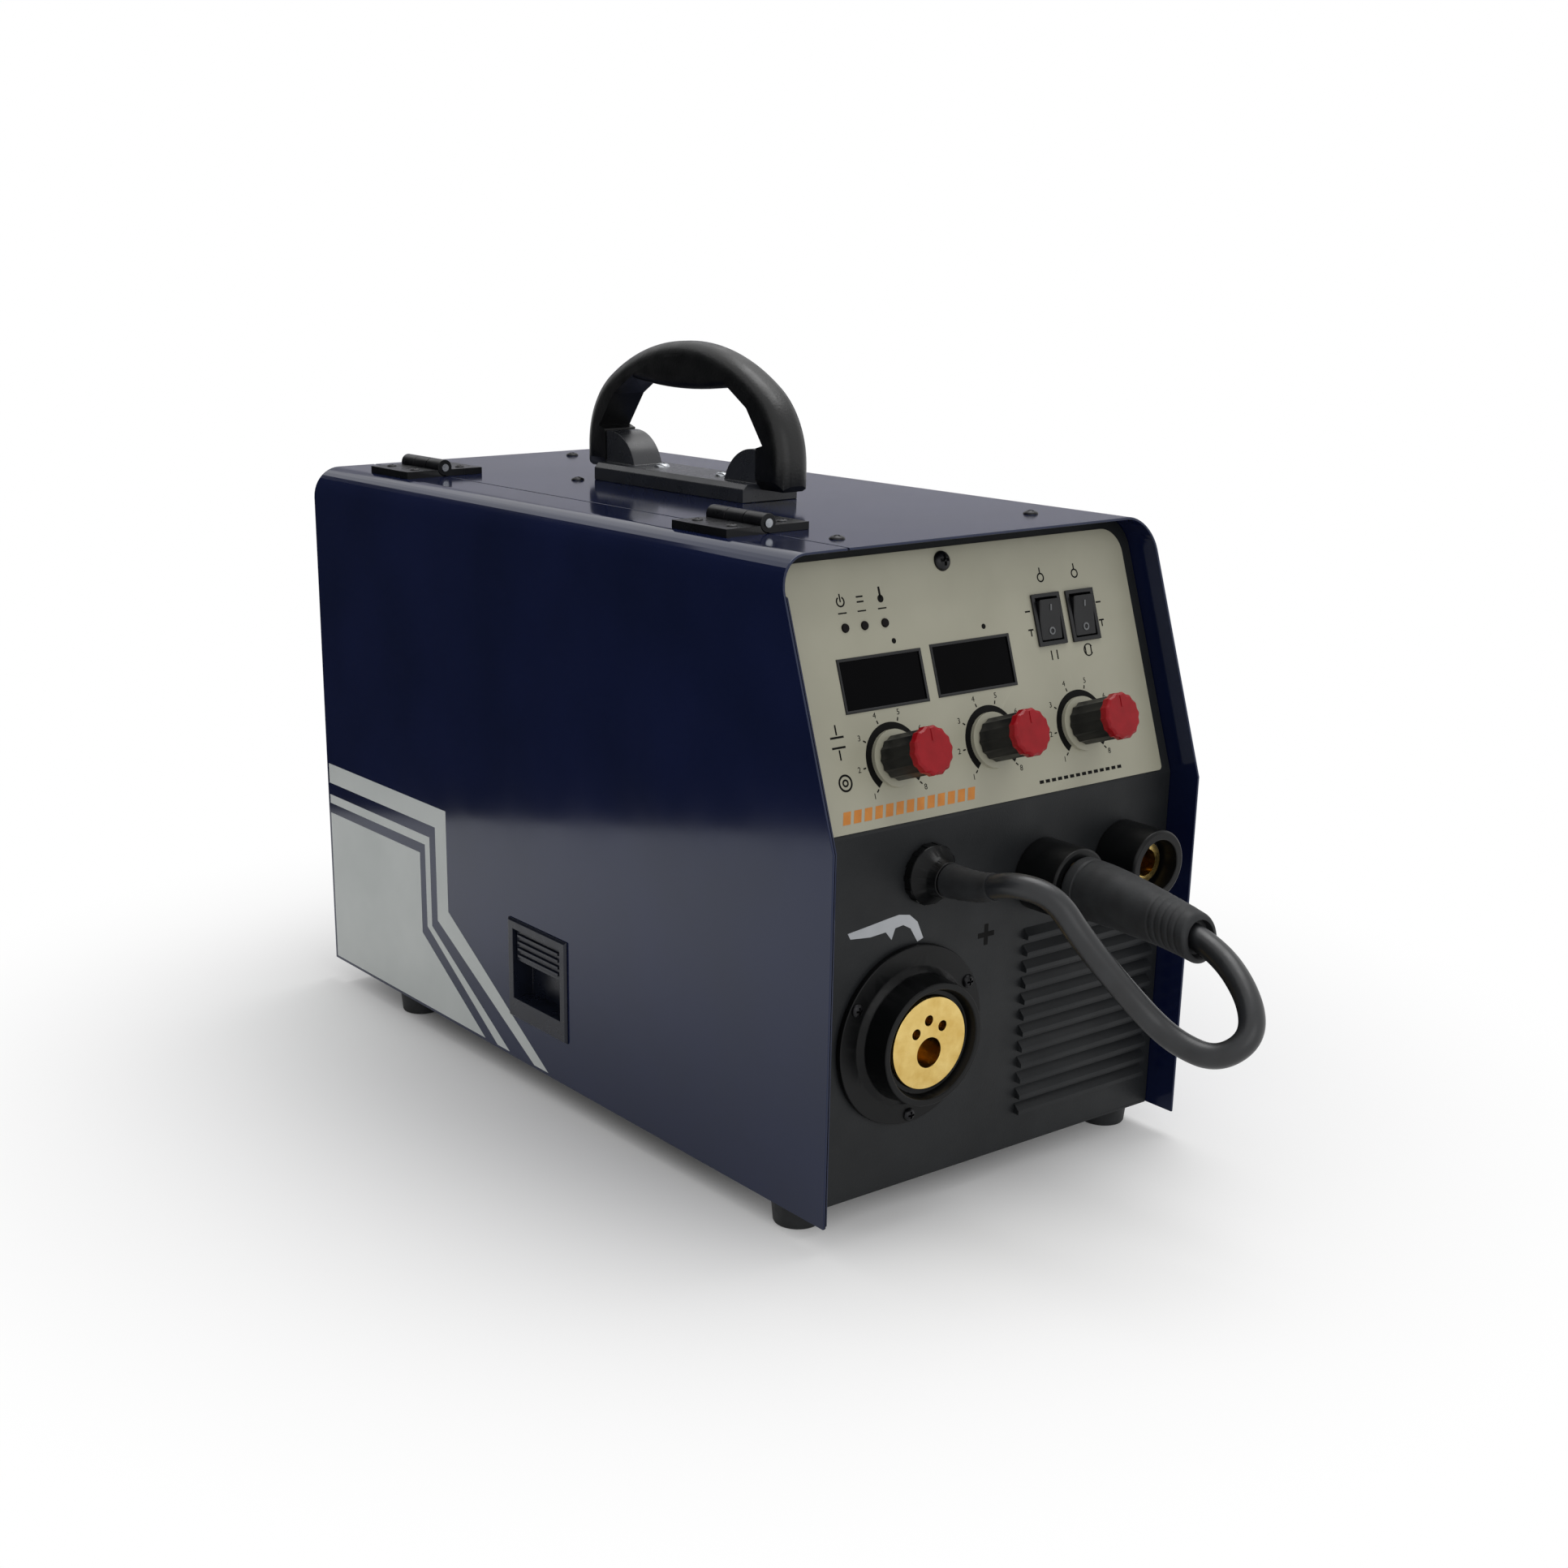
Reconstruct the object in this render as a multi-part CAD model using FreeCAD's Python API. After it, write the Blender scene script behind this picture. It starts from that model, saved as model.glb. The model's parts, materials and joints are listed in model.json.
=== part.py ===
import FreeCAD, Part
import math
import os

# Portable wire welder in a folded sheet case, with a wire feeder behind a door on its left side.
# Case frame while modelling: X to the right seen from the front, Y to the rear from the front edge
# of the cover, Z up from the underside of the case. The export moves it to the row frame, which has
# its origin under the middle of the machine, on the surface that the feet stand on.

# Case
case_width = 225.0
case_length = 452.0
case_height = 288.0
knee_height = 170.0
top_setback = 40.6
cover_thickness = 1.2
fold_radius = 16.0
base_thickness = 1.5
base_flange_height = 22.0
cover_gap = 0.4
foot_diameter = 24.0
foot_taper = 1.2
foot_height = 12.0
foot_inset_x = 13.3
foot_front_y = 34.0
foot_rear_y = 373.0

# Front
panel_recess = 15.0
panel_thickness = 1.5
fascia_thickness = 1.5
fascia_half_width = 104.0
fascia_low = 2.0
fascia_high = 118.0
fascia_corner = 12.0
louvre_count = 12
louvre_pitch = 7.9
louvre_left = 18.0
louvre_right = 104.0
louvre_low = 17.0
louvre_depth = 3.2
louvre_rise = 5.2
louvre_skin = 0.9

# Controls on the fascia, by x and by height up the slope from the knee
display_centres = [(-56.0, 63.6), (-2.4, 64.3)]
display_width = 46.5
display_height = 22.0
led_places = [(-71.6, 88.2), (-60.7, 88.2), (-49.1, 88.2)]
led_radius = 2.0
rocker_places = {"left": (48.0, 79.7), "right": (70.0, 79.5)}
rocker_width = 14.0
rocker_height = 20.0
rocker_frame_width = 18.0
rocker_frame_height = 24.0
rocker_tilt = 9.0
knob_places = {"left": (-58.0, 30.0), "middle": (0.0, 30.0), "right": (57.0, 30.0)}
knob_radius = 10.1
knob_height = 26.5
knob_collar_gap = 0.3
knob_collar_height = 2.0
knob_collar_radius = 12.6
knob_cap_radius = 10.9
knob_cap_thickness = 4.5
knob_shaft_radius = 3.0
knob_flutes = 14

# Torch connector
torch_x = -52.0
torch_z = 73.0
torch_flange_radius = 42.0
torch_barrel_radius = 28.5
torch_barrel_front = -1.0
torch_brass_radius = 21.4
torch_bore_radius = 7.0
torch_bore_drop = 4.5
torch_bore_depth = 26.0

# Output sockets, bayonet type
socket_z = 134.0
socket_centre_x = 27.0
socket_right_x = 79.0
socket_collar_radius = 17.0
socket_rim_y = -8.0
socket_brass_radius = 9.5
socket_bore_radius = 6.5
socket_bore_depth = 32.0

# Polarity lead
gland_x = -44.0
gland_z = 146.5
gland_radius = 13.5
gland_front_y = 2.5
cord_diameter = 11.0
plug_front_radius = 14.0
plug_rear_radius = 9.5
plug_rear_y = -79.0
plug_rear_z = 127.5
plug_tail_droop = 11.0
cord_route = [(-44.0, 12.0, 146.5), (-44.0, -16.0, 146.5), (-45.0, -36.0, 155.0), (-37.0, -53.0, 152.0),
              (-31.0, -64.0, 135.0), (-9.0, -80.0, 103.0), (-3.0, -95.0, 92.0), (2.0, -112.0, 89.0),
              (12.0, -121.0, 99.0), (20.0, -112.0, 112.0), (27.0, -88.0, 125.75), (27.0, -70.2, 129.2)]
cord_fit = 0.05

# Door, hinges and latch
hinge_x = -73.5
hinge_axis_rise = 4.6
hinge_length = 40.0
hinge_leaf_width = 19.0
hinge_leaf_thickness = 3.6
hinge_knuckle_radius = 4.2
hinge_pin_radius = 2.0
hinge_fit = 0.04
hinge_clearance = 0.35
hinge_centres_y = [114.5, 393.0]
seam_gap = 1.0
latch_y = 227.0
latch_size = 54.0
latch_above_flange = 1.5
latch_z = base_flange_height + latch_above_flange + latch_size / 2.0
latch_depth = 12.0
latch_flange_proud = 1.6
latch_hook_reach = 6.0

# Carry handle
handle_y = 249.0
handle_half_span = 74.5
handle_rise = 73.5
handle_pivot_rise = 15.0
handle_width = 20.0
handle_leg_thickness = 20.0
handle_grip_thickness = 20.0
handle_grip_belly = 3.0
handle_shoulder_radius = 45.0
handle_arch_height = 56.5
handle_pin_radius = 4.0
handle_pin_fit = 0.05
handle_base_width = 34.0
handle_base_height = 9.0
handle_ear_length = 26.0
handle_ear_clearance = 0.35
handle_round = 8.0
handle_under_round = 4.0

# Inside
divider_x = 6.0
divider_thickness = 1.2
wire_z = torch_z - torch_bore_drop
feed_roll_y = 106.0
drive_roll_radius = 15.0
pressure_roll_radius = 11.0
roll_gap = 0.3
roll_width = 9.0
feeder_plate_x = -40.0
feeder_plate_thickness = 8.0
drive_shaft_radius = 4.0
shaft_fit = 0.05
arm_pivot_y = 134.0
arm_pivot_z = 88.0
lever_pivot_y = 78.0
lever_pivot_z = 80.0
lever_rest_angle = 50.0
lever_rod_radius = 3.0
lever_washer_base = 20.2
lever_washer_radius = 6.5
lever_washer_thickness = 1.2
lever_knob_base = 39.5
lever_knob_length = 19.0
lever_knob_radius = 9.0
spring_outer_radius = 6.3
spring_inner_radius = 4.5
spool_y = 318.0
spool_z = 150.0
spool_hub_radius = 25.0
spool_hub_length = 54.0
spool_axle_radius = 8.0
fan_size = 92.0
fan_depth = 25.0
fan_x = 58.5
fan_z = 68.0
fan_blades = 7
fan_hub_radius = 17.0

# Rear
rear_recess = 12.0
switch_x = 58.0
switch_z = 238.0
switch_width = 22.0
switch_height = 30.0
switch_tilt = 10.0
cord_gland_x = 58.0
cord_gland_z = 184.0
cord_gland_bore = 5.0
gas_inlet_x = -60.0
gas_inlet_z = 60.0
gas_inlet_length = 26.0
gas_barb_radius = 4.0

# Worked-out values
half_width = case_width / 2.0
slope = math.atan2(top_setback, case_height - knee_height)
slope_length = math.hypot(top_setback, case_height - knee_height)
inner_half_width = half_width - cover_thickness
inner_top_z = case_height - cover_thickness
skin_half_width = inner_half_width - cover_gap
panel_front_y = panel_recess + fascia_thickness
panel_back_y = panel_front_y + panel_thickness
rear_face_y = case_length - rear_recess
rear_back_y = rear_face_y - panel_thickness
hinge_z = case_height + hinge_axis_rise
handle_pivot_z = case_height + handle_pivot_rise
divider_left = divider_x - divider_thickness / 2.0
divider_right = divider_x + divider_thickness / 2.0
drive_roll_z = wire_z - drive_roll_radius
pressure_roll_z = wire_z + roll_gap + pressure_roll_radius
up = FreeCAD.Vector(0, 0, 1)
across = FreeCAD.Vector(1, 0, 0)
rearward = FreeCAD.Vector(0, 1, 0)


def vector(x, y, z):
    return FreeCAD.Vector(x, y, z)


def block(x0, x1, y0, y1, z0, z1):
    return Part.makeBox(x1 - x0, y1 - y0, z1 - z0, vector(x0, y0, z0))


def rod(start, direction, radius, length):
    return Part.makeCylinder(radius, length, start, direction)


def tube(start, direction, outer_radius, inner_radius, length):
    return rod(start, direction, outer_radius, length).cut(rod(start, direction, inner_radius, length))


def join(shapes):
    result = shapes[0]
    for shape in shapes[1:]:
        result = result.fuse(shape)
    return result.removeSplitter()


def group(shapes):
    return Part.makeCompound(shapes)


def side_profile(points, x0, x1):
    # A closed outline in Y and Z, drawn out along X.
    corners = [vector(x0, y, z) for y, z in points]
    face = Part.Face(Part.makePolygon(corners + [corners[0]]))
    return face.extrude(vector(x1 - x0, 0, 0))


def front_profile(points, y0, y1):
    # A closed outline in X and Z, drawn out along Y.
    corners = [vector(x, y0, z) for x, z in points]
    face = Part.Face(Part.makePolygon(corners + [corners[0]]))
    return face.extrude(vector(0, y1 - y0, 0))


def turned(points, start, direction):
    # A closed outline of radius and height, turned about the line from start along direction.
    corners = [vector(radius, 0, height) for radius, height in points]
    face = Part.Face(Part.makePolygon(corners + [corners[0]]))
    shape = face.revolve(vector(0, 0, 0), up, 360)
    shape.Placement = FreeCAD.Placement(start, FreeCAD.Rotation(up, direction))
    return shape


def slope_placement():
    # Carries x, height up the slope and height off the fascia into the case frame.
    turn = FreeCAD.Rotation(across, 90.0 - math.degrees(slope))
    return FreeCAD.Placement(vector(0, panel_recess, knee_height), turn)


def on_slope(shape):
    placed = shape.copy()
    placed.Placement = slope_placement().multiply(placed.Placement)
    return placed


def slope_point(x, height, out):
    return slope_placement().multVec(vector(x, height, out))


def rounded_plate(x0, x1, y0, y1, z0, z1, low_radius, high_radius):
    # A plate lying in X and Y whose corners at y0 and at y1 have their own radii.
    plate = block(x0, x1, y0, y1, z0, z1)
    low_edges = []
    high_edges = []
    for edge in plate.Edges:
        ends = [vertex.Point for vertex in edge.Vertexes]
        if abs(ends[0].z - ends[1].z) > 0.5 * (z1 - z0):
            if ends[0].y < 0.5 * (y0 + y1):
                low_edges.append(edge)
            else:
                high_edges.append(edge)
    plate = plate.makeFillet(low_radius, low_edges)
    wanted = []
    for edge in plate.Edges:
        ends = [vertex.Point for vertex in edge.Vertexes]
        upright = len(ends) == 2 and abs(ends[0].z - ends[1].z) > 0.5 * (z1 - z0)
        if upright and ends[0].y > y1 - 0.01 and min(abs(ends[0].x - x0), abs(ends[0].x - x1)) < 0.01:
            wanted.append(edge)
    return plate.makeFillet(high_radius, wanted)


def band_knee(depth):
    # Where a sheet that lies this far behind the fascia's face turns at the knee.
    return panel_recess + depth, knee_height - depth * math.tan(slope / 2.0)


def band_point(depth, height):
    y = panel_recess + depth * math.cos(slope) + height * math.sin(slope)
    z = knee_height - depth * math.sin(slope) + height * math.cos(slope)
    return y, z


def front_band(near, far, z_low, height):
    # The side outline of a sheet bent at the knee, between two depths behind the fascia's face.
    return [(panel_recess + near, z_low), band_knee(near), band_point(near, height),
            band_point(far, height), band_knee(far), (panel_recess + far, z_low)]


def slope_y(depth, z):
    # Y of the plane that lies this far behind the fascia's face, at a height z over the base.
    return panel_recess + (z - knee_height) * math.tan(slope) + depth / math.cos(slope)


# Case: base, covers, divider and feet

def arch_outline(half, top_z, radius):
    # A folded sheet's outline: two sides and a top, with rounded folds.
    bend = math.sqrt(0.5)
    left_low = vector(-half, 0, 0)
    left_high = vector(-half, 0, top_z - radius)
    left_mid = vector(-half + radius * (1 - bend), 0, top_z - radius * (1 - bend))
    left_top = vector(-half + radius, 0, top_z)
    right_top = vector(half - radius, 0, top_z)
    right_mid = vector(half - radius * (1 - bend), 0, top_z - radius * (1 - bend))
    right_high = vector(half, 0, top_z - radius)
    right_low = vector(half, 0, 0)
    edges = [Part.LineSegment(left_low, left_high).toShape(),
             Part.Arc(left_high, left_mid, left_top).toShape(),
             Part.LineSegment(left_top, right_top).toShape(),
             Part.Arc(right_top, right_mid, right_high).toShape(),
             Part.LineSegment(right_high, right_low).toShape(),
             Part.LineSegment(right_low, left_low).toShape()]
    return Part.Face(Part.Wire(edges)).extrude(vector(0, case_length, 0))


def case_shell():
    outer = arch_outline(half_width, case_height, fold_radius)
    inner = arch_outline(inner_half_width, inner_top_z, fold_radius - cover_thickness)
    side = [(0, 0), (case_length, 0), (case_length, case_height), (top_setback, case_height),
            (0, knee_height)]
    return outer.cut(inner).common(side_profile(side, -half_width, half_width))


def top_cover():
    keep = block(hinge_x + seam_gap / 2.0, half_width, 0, case_length, 0, case_height)
    return case_shell().common(keep)


def side_door():
    keep = block(-half_width, hinge_x - seam_gap / 2.0, 0, case_length, 0, case_height)
    door = case_shell().common(keep)
    share = 0.86
    top_y = share * top_setback + 0.3
    top_z = knee_height + share * (case_height - knee_height)
    depth = 7.0
    hem = [(0.3, 1.0), (0.3 + depth, 1.0), (0.3 + depth, knee_height - 1.0), (top_y + depth, top_z),
           (top_y, top_z), (0.3, knee_height)]
    door = door.fuse(side_profile(hem, -inner_half_width, -inner_half_width + cover_thickness))
    half = latch_size / 2.0 - 2.0
    window = block(-half_width - 1, -inner_half_width + 1, latch_y - half, latch_y + half,
                   latch_z - half, latch_z + half)
    return door.cut(window).removeSplitter()


def base_pan():
    # A floor with a flange along each side, between the front and rear sheets, and the latch's keeper.
    floor = block(-skin_half_width, skin_half_width, panel_front_y, rear_face_y, 0, base_thickness)
    outer = skin_half_width
    inner = skin_half_width - base_thickness
    flanges = [block(x0, x1, panel_back_y, rear_back_y, base_thickness, base_flange_height)
               for x0, x1 in ((-outer, -inner), (inner, outer))]
    return group([floor] + flanges + [latch_keeper()])


def foot_places():
    x = half_width - foot_inset_x
    return [(side * x, y) for side in (-1, 1) for y in (foot_front_y, foot_rear_y)]


def rubber_foot(x, y):
    # A turned foot, a little narrower at the floor.
    radius = foot_diameter / 2.0
    outline = [(0, -foot_height), (radius - foot_taper, -foot_height), (radius, 0), (0, 0)]
    return turned(outline, vector(x, y, 0), up)


def rubber_feet():
    return group([rubber_foot(x, y) for x, y in foot_places()])


def divider_wall():
    # A wall from front to rear, stepped over the front sheet's foot and cut back behind the controls.
    front_low = panel_back_y
    foot_y = panel_back_y + front_foot_depth() + 0.3
    foot_z = base_thickness * 2.0 + 0.1
    notch_z = knee_height - 12.0
    depth = 52.0
    top_z = inner_top_z
    outline = [(foot_y, base_thickness), (rear_back_y, base_thickness), (rear_back_y, top_z),
               (slope_y(depth, top_z), top_z), (slope_y(depth, knee_height), knee_height),
               (front_low, notch_z), (front_low, foot_z), (foot_y, foot_z)]
    wall = side_profile(outline, divider_left, divider_right)
    flange_y = slope_y(depth, top_z)
    foot = block(divider_right, divider_right + 12.0, 60.0, rear_back_y - 40.0, base_thickness,
                 base_thickness + divider_thickness)
    top = block(divider_right, divider_right + 12.0, flange_y, rear_back_y - 20.0,
                top_z - divider_thickness, top_z)
    motor_hole = rod(vector(divider_left - 1, feed_roll_y, drive_roll_z), across, motor_radius() + 1.0, 4)
    axle_hole = rod(vector(divider_left - 1, spool_y, spool_z), across, 6.0, 4)
    return join([wall, foot, top]).cut(group([motor_hole, axle_hole]))


# Front panel with its louvres

def louvre_rows():
    return [louvre_low + index * louvre_pitch for index in range(louvre_count)]


def louvre_hood(z):
    # A pressed hood: closed above and at both ends, open below.
    front = panel_front_y
    out = front - louvre_depth
    skin = louvre_skin
    high = z + louvre_rise
    lip = high - louvre_depth
    hood = [(front, high), (out, lip), (out, z), (front, z)]
    inside = [(front + 0.01, high - skin * 1.4), (out + skin, lip - skin * 0.6),
              (out + skin, z - 1.0), (front + 0.01, z - 1.0)]
    outer = side_profile(hood, louvre_left, louvre_right)
    return outer.cut(side_profile(inside, louvre_left + skin, louvre_right - skin))


def front_foot_depth():
    return 12.0


def front_panel():
    top_height = slope_length - 2.2
    near = fascia_thickness
    far = fascia_thickness + panel_thickness
    band = front_band(near, far, base_thickness, top_height)
    sheet = side_profile(band, -skin_half_width, skin_half_width)
    flange_depth = far + 11.0
    flange = front_band(near, flange_depth, base_flange_height + 2.0, top_height - 12.0)
    thickness = panel_thickness
    left = side_profile(flange, -skin_half_width, -skin_half_width + thickness)
    right = side_profile(flange, skin_half_width - thickness, skin_half_width)
    inner = skin_half_width - base_thickness - 0.3
    foot = block(-inner, inner, panel_front_y, panel_back_y + front_foot_depth(), base_thickness,
                 base_thickness * 2.0)
    corner = fold_radius - cover_thickness
    panel = join([sheet, left, right, foot]).common(arch_outline(skin_half_width, inner_top_z, corner))
    cuts = []
    for z in louvre_rows():
        cuts.append(block(louvre_left + louvre_skin, louvre_right - louvre_skin, panel_front_y - 1,
                          panel_back_y + 1, z, z + louvre_rise - 2.0))
    cuts.append(rod(vector(torch_x, panel_front_y - 1, torch_z), rearward, torch_body_radius(), 4))
    cuts.append(rod(vector(gland_x, panel_front_y - 1, gland_z), rearward, gland_neck_radius(), 4))
    for x in (socket_centre_x, socket_right_x):
        cuts.append(rod(vector(x, panel_front_y - 1, socket_z), rearward, socket_neck_radius(), 4))
    depth = fascia_thickness + panel_thickness + 1.0
    window = block(display_low_x(), display_high_x(), 51.0, 92.0, -depth, 0)
    cuts.append(on_slope(group(switch_and_shaft_cuts(depth) + [window])))
    panel = panel.cut(group(cuts))
    return join([panel] + [louvre_hood(z) for z in louvre_rows()])


def switch_and_shaft_cuts(depth):
    # Openings through the sloping sheets for the rockers and the knobs' shafts.
    cuts = []
    for x, height in rocker_places.values():
        cuts.append(centred_block(x, height, rocker_width + 1.6, rocker_height + 1.6, -depth, 1.0))
    reach = depth + knob_collar_height + 1.0
    for x, height in knob_places.values():
        cuts.append(rod(vector(x, height, -depth), up, knob_shaft_radius + 1.0, reach))
    return cuts


def fascia_cuts(depth):
    cuts = switch_and_shaft_cuts(depth)
    for x, height in display_centres:
        cuts.append(centred_block(x, height, display_width, display_height, -depth, 1.0))
    for x, height in led_places:
        cuts.append(rod(vector(x, height, -depth), up, led_radius, depth + 1.0))
    return cuts


def centred_block(x, y, width, height, z0, z1):
    return block(x - width / 2.0, x + width / 2.0, y - height / 2.0, y + height / 2.0, z0, z1)


def display_low_x():
    return display_centres[0][0] - display_width / 2.0 - 4.0


def display_high_x():
    return display_centres[1][0] + display_width / 2.0 + 4.0


def control_fascia():
    # The cream plate, with a raised collar under each knob.
    plate = rounded_plate(-fascia_half_width, fascia_half_width, fascia_low, fascia_high,
                          -fascia_thickness, 0, 2.0, fascia_corner)
    collars = [rod(vector(x, height, 0), up, knob_collar_radius, knob_collar_height)
               for x, height in knob_places.values()]
    return on_slope(join([plate] + collars).cut(group(fascia_cuts(fascia_thickness + 1.0))))


def display_windows():
    # Two displays, each let into its opening from its housing on the board.
    windows = []
    back = -fascia_thickness - panel_thickness - board_gap()
    for x, height in display_centres:
        windows.append(centred_block(x, height, display_width - 0.1, display_height - 0.1, back, -0.4))
    return on_slope(group(windows))


def indicator_leds():
    lamps = []
    back = -fascia_thickness - panel_thickness - board_gap()
    for x, height in led_places:
        lamps.append(rod(vector(x, height, back), up, led_radius - 0.03, 0.8 - back))
    return on_slope(group(lamps))


def board_gap():
    return 12.0


def control_board():
    # A circuit board on four pillars behind the sloping sheet.
    back = -fascia_thickness - panel_thickness
    top = back - board_gap()
    board = centred_block(0, 56.0, 190.0, 90.0, top - 1.6, top)
    pillars = []
    for x in (-90.0, 90.0):
        for height in (16.0, 96.0):
            pillars.append(centred_block(x, height, 6.0, 6.0, top, back))
    connectors = [centred_block(-30.0, 92.0, 30.0, 7.0, top - 9.6, top - 1.6),
                  centred_block(30.0, 22.0, 24.0, 7.0, top - 9.6, top - 1.6)]
    board = board.cut(group(board_openings(top)))
    return on_slope(join([board] + pillars + connectors))


def board_openings(top):
    cuts = []
    for x, height in rocker_places.values():
        cuts.append(centred_block(x, height, rocker_width + 4.0, rocker_height + 4.0, top - 3.0, top + 1.0))
    return cuts


def potentiometers():
    # Square-bodied controls on the board, with a shaft for each knob.
    back = -fascia_thickness - panel_thickness
    bodies = []
    for x, height in knob_places.values():
        body = centred_block(x, height, 16.0, 17.0, back - board_gap(), back - 0.2)
        shaft = rod(vector(x, height, back - 0.2), up, knob_shaft_radius, 16.2 - back)
        bodies.append(body.fuse(shaft))
    return on_slope(group(bodies))


def lobed_outline(radius, depth, z):
    # A closed ring of shallow flutes.
    corners = []
    for index in range(2 * knob_flutes):
        reach = radius if index % 2 == 0 else radius - depth
        angle = index * math.pi / knob_flutes
        corners.append(vector(reach * math.cos(angle), reach * math.sin(angle), z))
    return Part.makePolygon(corners + [corners[0]])


def knob_body(x, height):
    # A fluted grip on a stepped collar, with a bore for the shaft.
    low = knob_collar_gap + knob_collar_height
    top = knob_height - knob_cap_thickness
    grip = Part.Face(lobed_outline(knob_radius, 0.7, low)).extrude(vector(0, 0, top - low))
    bore = rod(vector(0, 0, low - 1.0), up, knob_shaft_radius + shaft_fit, 17.0 - low + 1.2)
    body = grip.cut(bore)
    body.translate(vector(x, height, 0))
    return on_slope(body)


def knob_cap(x, height):
    # A coloured cap with a chamfered, lobed edge, wider than the grip under it.
    top = knob_height
    low = top - knob_cap_thickness
    edge = top - 1.0
    flutes = 0.7
    skirt = Part.Face(lobed_outline(knob_cap_radius, flutes, low)).extrude(vector(0, 0, edge - low))
    crown = Part.makeLoft([lobed_outline(knob_cap_radius, flutes, edge),
                           lobed_outline(knob_cap_radius - 1.0, flutes, top)], True, True)
    cap = join([skirt, crown])
    cap.translate(vector(x, height, 0))
    return on_slope(cap)


def switch_frames():
    # The two rocker frames on the fascia and the one for the mains switch at the rear.
    frames = []
    back = fascia_thickness + panel_thickness
    for x, height in rocker_places.values():
        rim = centred_block(x, height, rocker_frame_width, rocker_frame_height, 0, 1.2)
        box = centred_block(x, height, rocker_width + 1.4, rocker_height + 1.4, -back - 11.0, 0)
        well = centred_block(x, height, rocker_width, rocker_height, -back - 5.0, 2.0)
        frames.append(on_slope(join([rim, box]).cut(well)))
    rim = switch_block(switch_width + 6.0, switch_height + 6.0, rear_face_y, rear_face_y + 1.6)
    box = switch_block(switch_width + 2.0, switch_height + 2.0, rear_back_y - 16.0, rear_face_y)
    well = switch_block(switch_width, switch_height, rear_back_y - 6.0, rear_face_y + 3.0)
    frames.append(join([rim, box]).cut(well))
    return group(frames)


def switch_block(width, height, y0, y1):
    return block(switch_x - width / 2.0, switch_x + width / 2.0, y0, y1,
                 switch_z - height / 2.0, switch_z + height / 2.0)


def rocker_outline(length, depth, tilt_degrees):
    # Side outline of a rocker about its pivot: a shallow V on top, at rest with its low end down.
    half = length / 2.0 - 0.5
    tilt = math.radians(tilt_degrees)
    rise = 2.4
    points = [(-half, rise), (0, rise + half * math.tan(-tilt * 0.45)), (half, rise),
              (half * 0.85, -depth), (-half * 0.85, -depth)]
    turned_points = []
    for along, out in points:
        turned_points.append((along * math.cos(tilt) - out * math.sin(tilt),
                              along * math.sin(tilt) + out * math.cos(tilt)))
    return turned_points


def fascia_rocker(x, height):
    points = rocker_outline(rocker_height, 2.4, rocker_tilt)
    half = rocker_width / 2.0 - 0.4
    corners = [vector(x - half, height + along, out) for along, out in points]
    face = Part.Face(Part.makePolygon(corners + [corners[0]]))
    return on_slope(face.extrude(vector(2.0 * half, 0, 0)))


def power_switch():
    points = rocker_outline(switch_height, 2.6, switch_tilt)
    half = switch_width / 2.0 - 0.4
    corners = [vector(switch_x - half, rear_face_y + out, switch_z + along) for along, out in points]
    face = Part.Face(Part.makePolygon(corners + [corners[0]]))
    return face.extrude(vector(2.0 * half, 0, 0))


# Torch connector and output sockets

def torch_body_radius():
    return torch_barrel_radius - 2.0


def torch_connector():
    # A flanged plastic housing with a deep collar round the brass.
    start = vector(torch_x, 0, torch_z)
    flange_y = panel_front_y - 3.0
    face_y = torch_brass_face() + 2.0
    barrel = torch_barrel_radius
    outline = [(torch_brass_radius, face_y), (barrel - 4.5, face_y), (barrel - 3.0, torch_barrel_front),
               (barrel, torch_barrel_front), (barrel + 1.0, flange_y - 2.0), (barrel + 4.0, flange_y),
               (torch_flange_radius, flange_y), (torch_flange_radius, panel_front_y),
               (torch_body_radius(), panel_front_y), (torch_body_radius(), panel_back_y + 6.0),
               (torch_brass_radius, panel_back_y + 6.0)]
    return turned(outline, start, rearward)


def torch_brass_face():
    return 2.0


def torch_brass():
    # The brass block, with the torch's bore, three small bores and a neck that meets the wire guide.
    face_y = torch_brass_face()
    neck_y = panel_back_y + 14.0
    body = rod(vector(torch_x, face_y, torch_z), rearward, torch_brass_radius, neck_y - face_y)
    neck = rod(vector(torch_x, neck_y, wire_z), rearward, 11.0, 60.0 - neck_y)
    bore = rod(vector(torch_x, face_y - 1, wire_z), rearward, torch_bore_radius, torch_bore_depth + 1)
    liner = rod(vector(torch_x, face_y, wire_z), rearward, 2.2, 70.0)
    small = []
    for dx, dz in ((-7.9, 5.7), (-0.7, 10.7), (7.5, 6.6)):
        small.append(rod(vector(torch_x + dx, face_y - 1, torch_z + dz), rearward, 2.4, 13.0))
    return body.fuse(neck).cut(group([bore, liner] + small))


def socket_neck_radius():
    return 14.0


def socket_body(x):
    # A bayonet socket's sleeve, with a collar in front of the panel and a neck behind it.
    start = vector(x, 0, socket_z)
    collar = socket_collar_radius
    neck = socket_neck_radius()
    seat = socket_brass_radius
    outline = [(seat, 2.0), (seat + 1.8, 2.0), (seat + 3.0, socket_rim_y), (collar - 1.0, socket_rim_y),
               (collar, socket_rim_y + 1.0), (collar, panel_front_y), (neck, panel_front_y),
               (neck, panel_back_y + 12.0), (seat, panel_back_y + 12.0)]
    return turned(outline, start, rearward)


def output_sockets():
    return group([socket_body(socket_centre_x), socket_body(socket_right_x)])


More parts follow.
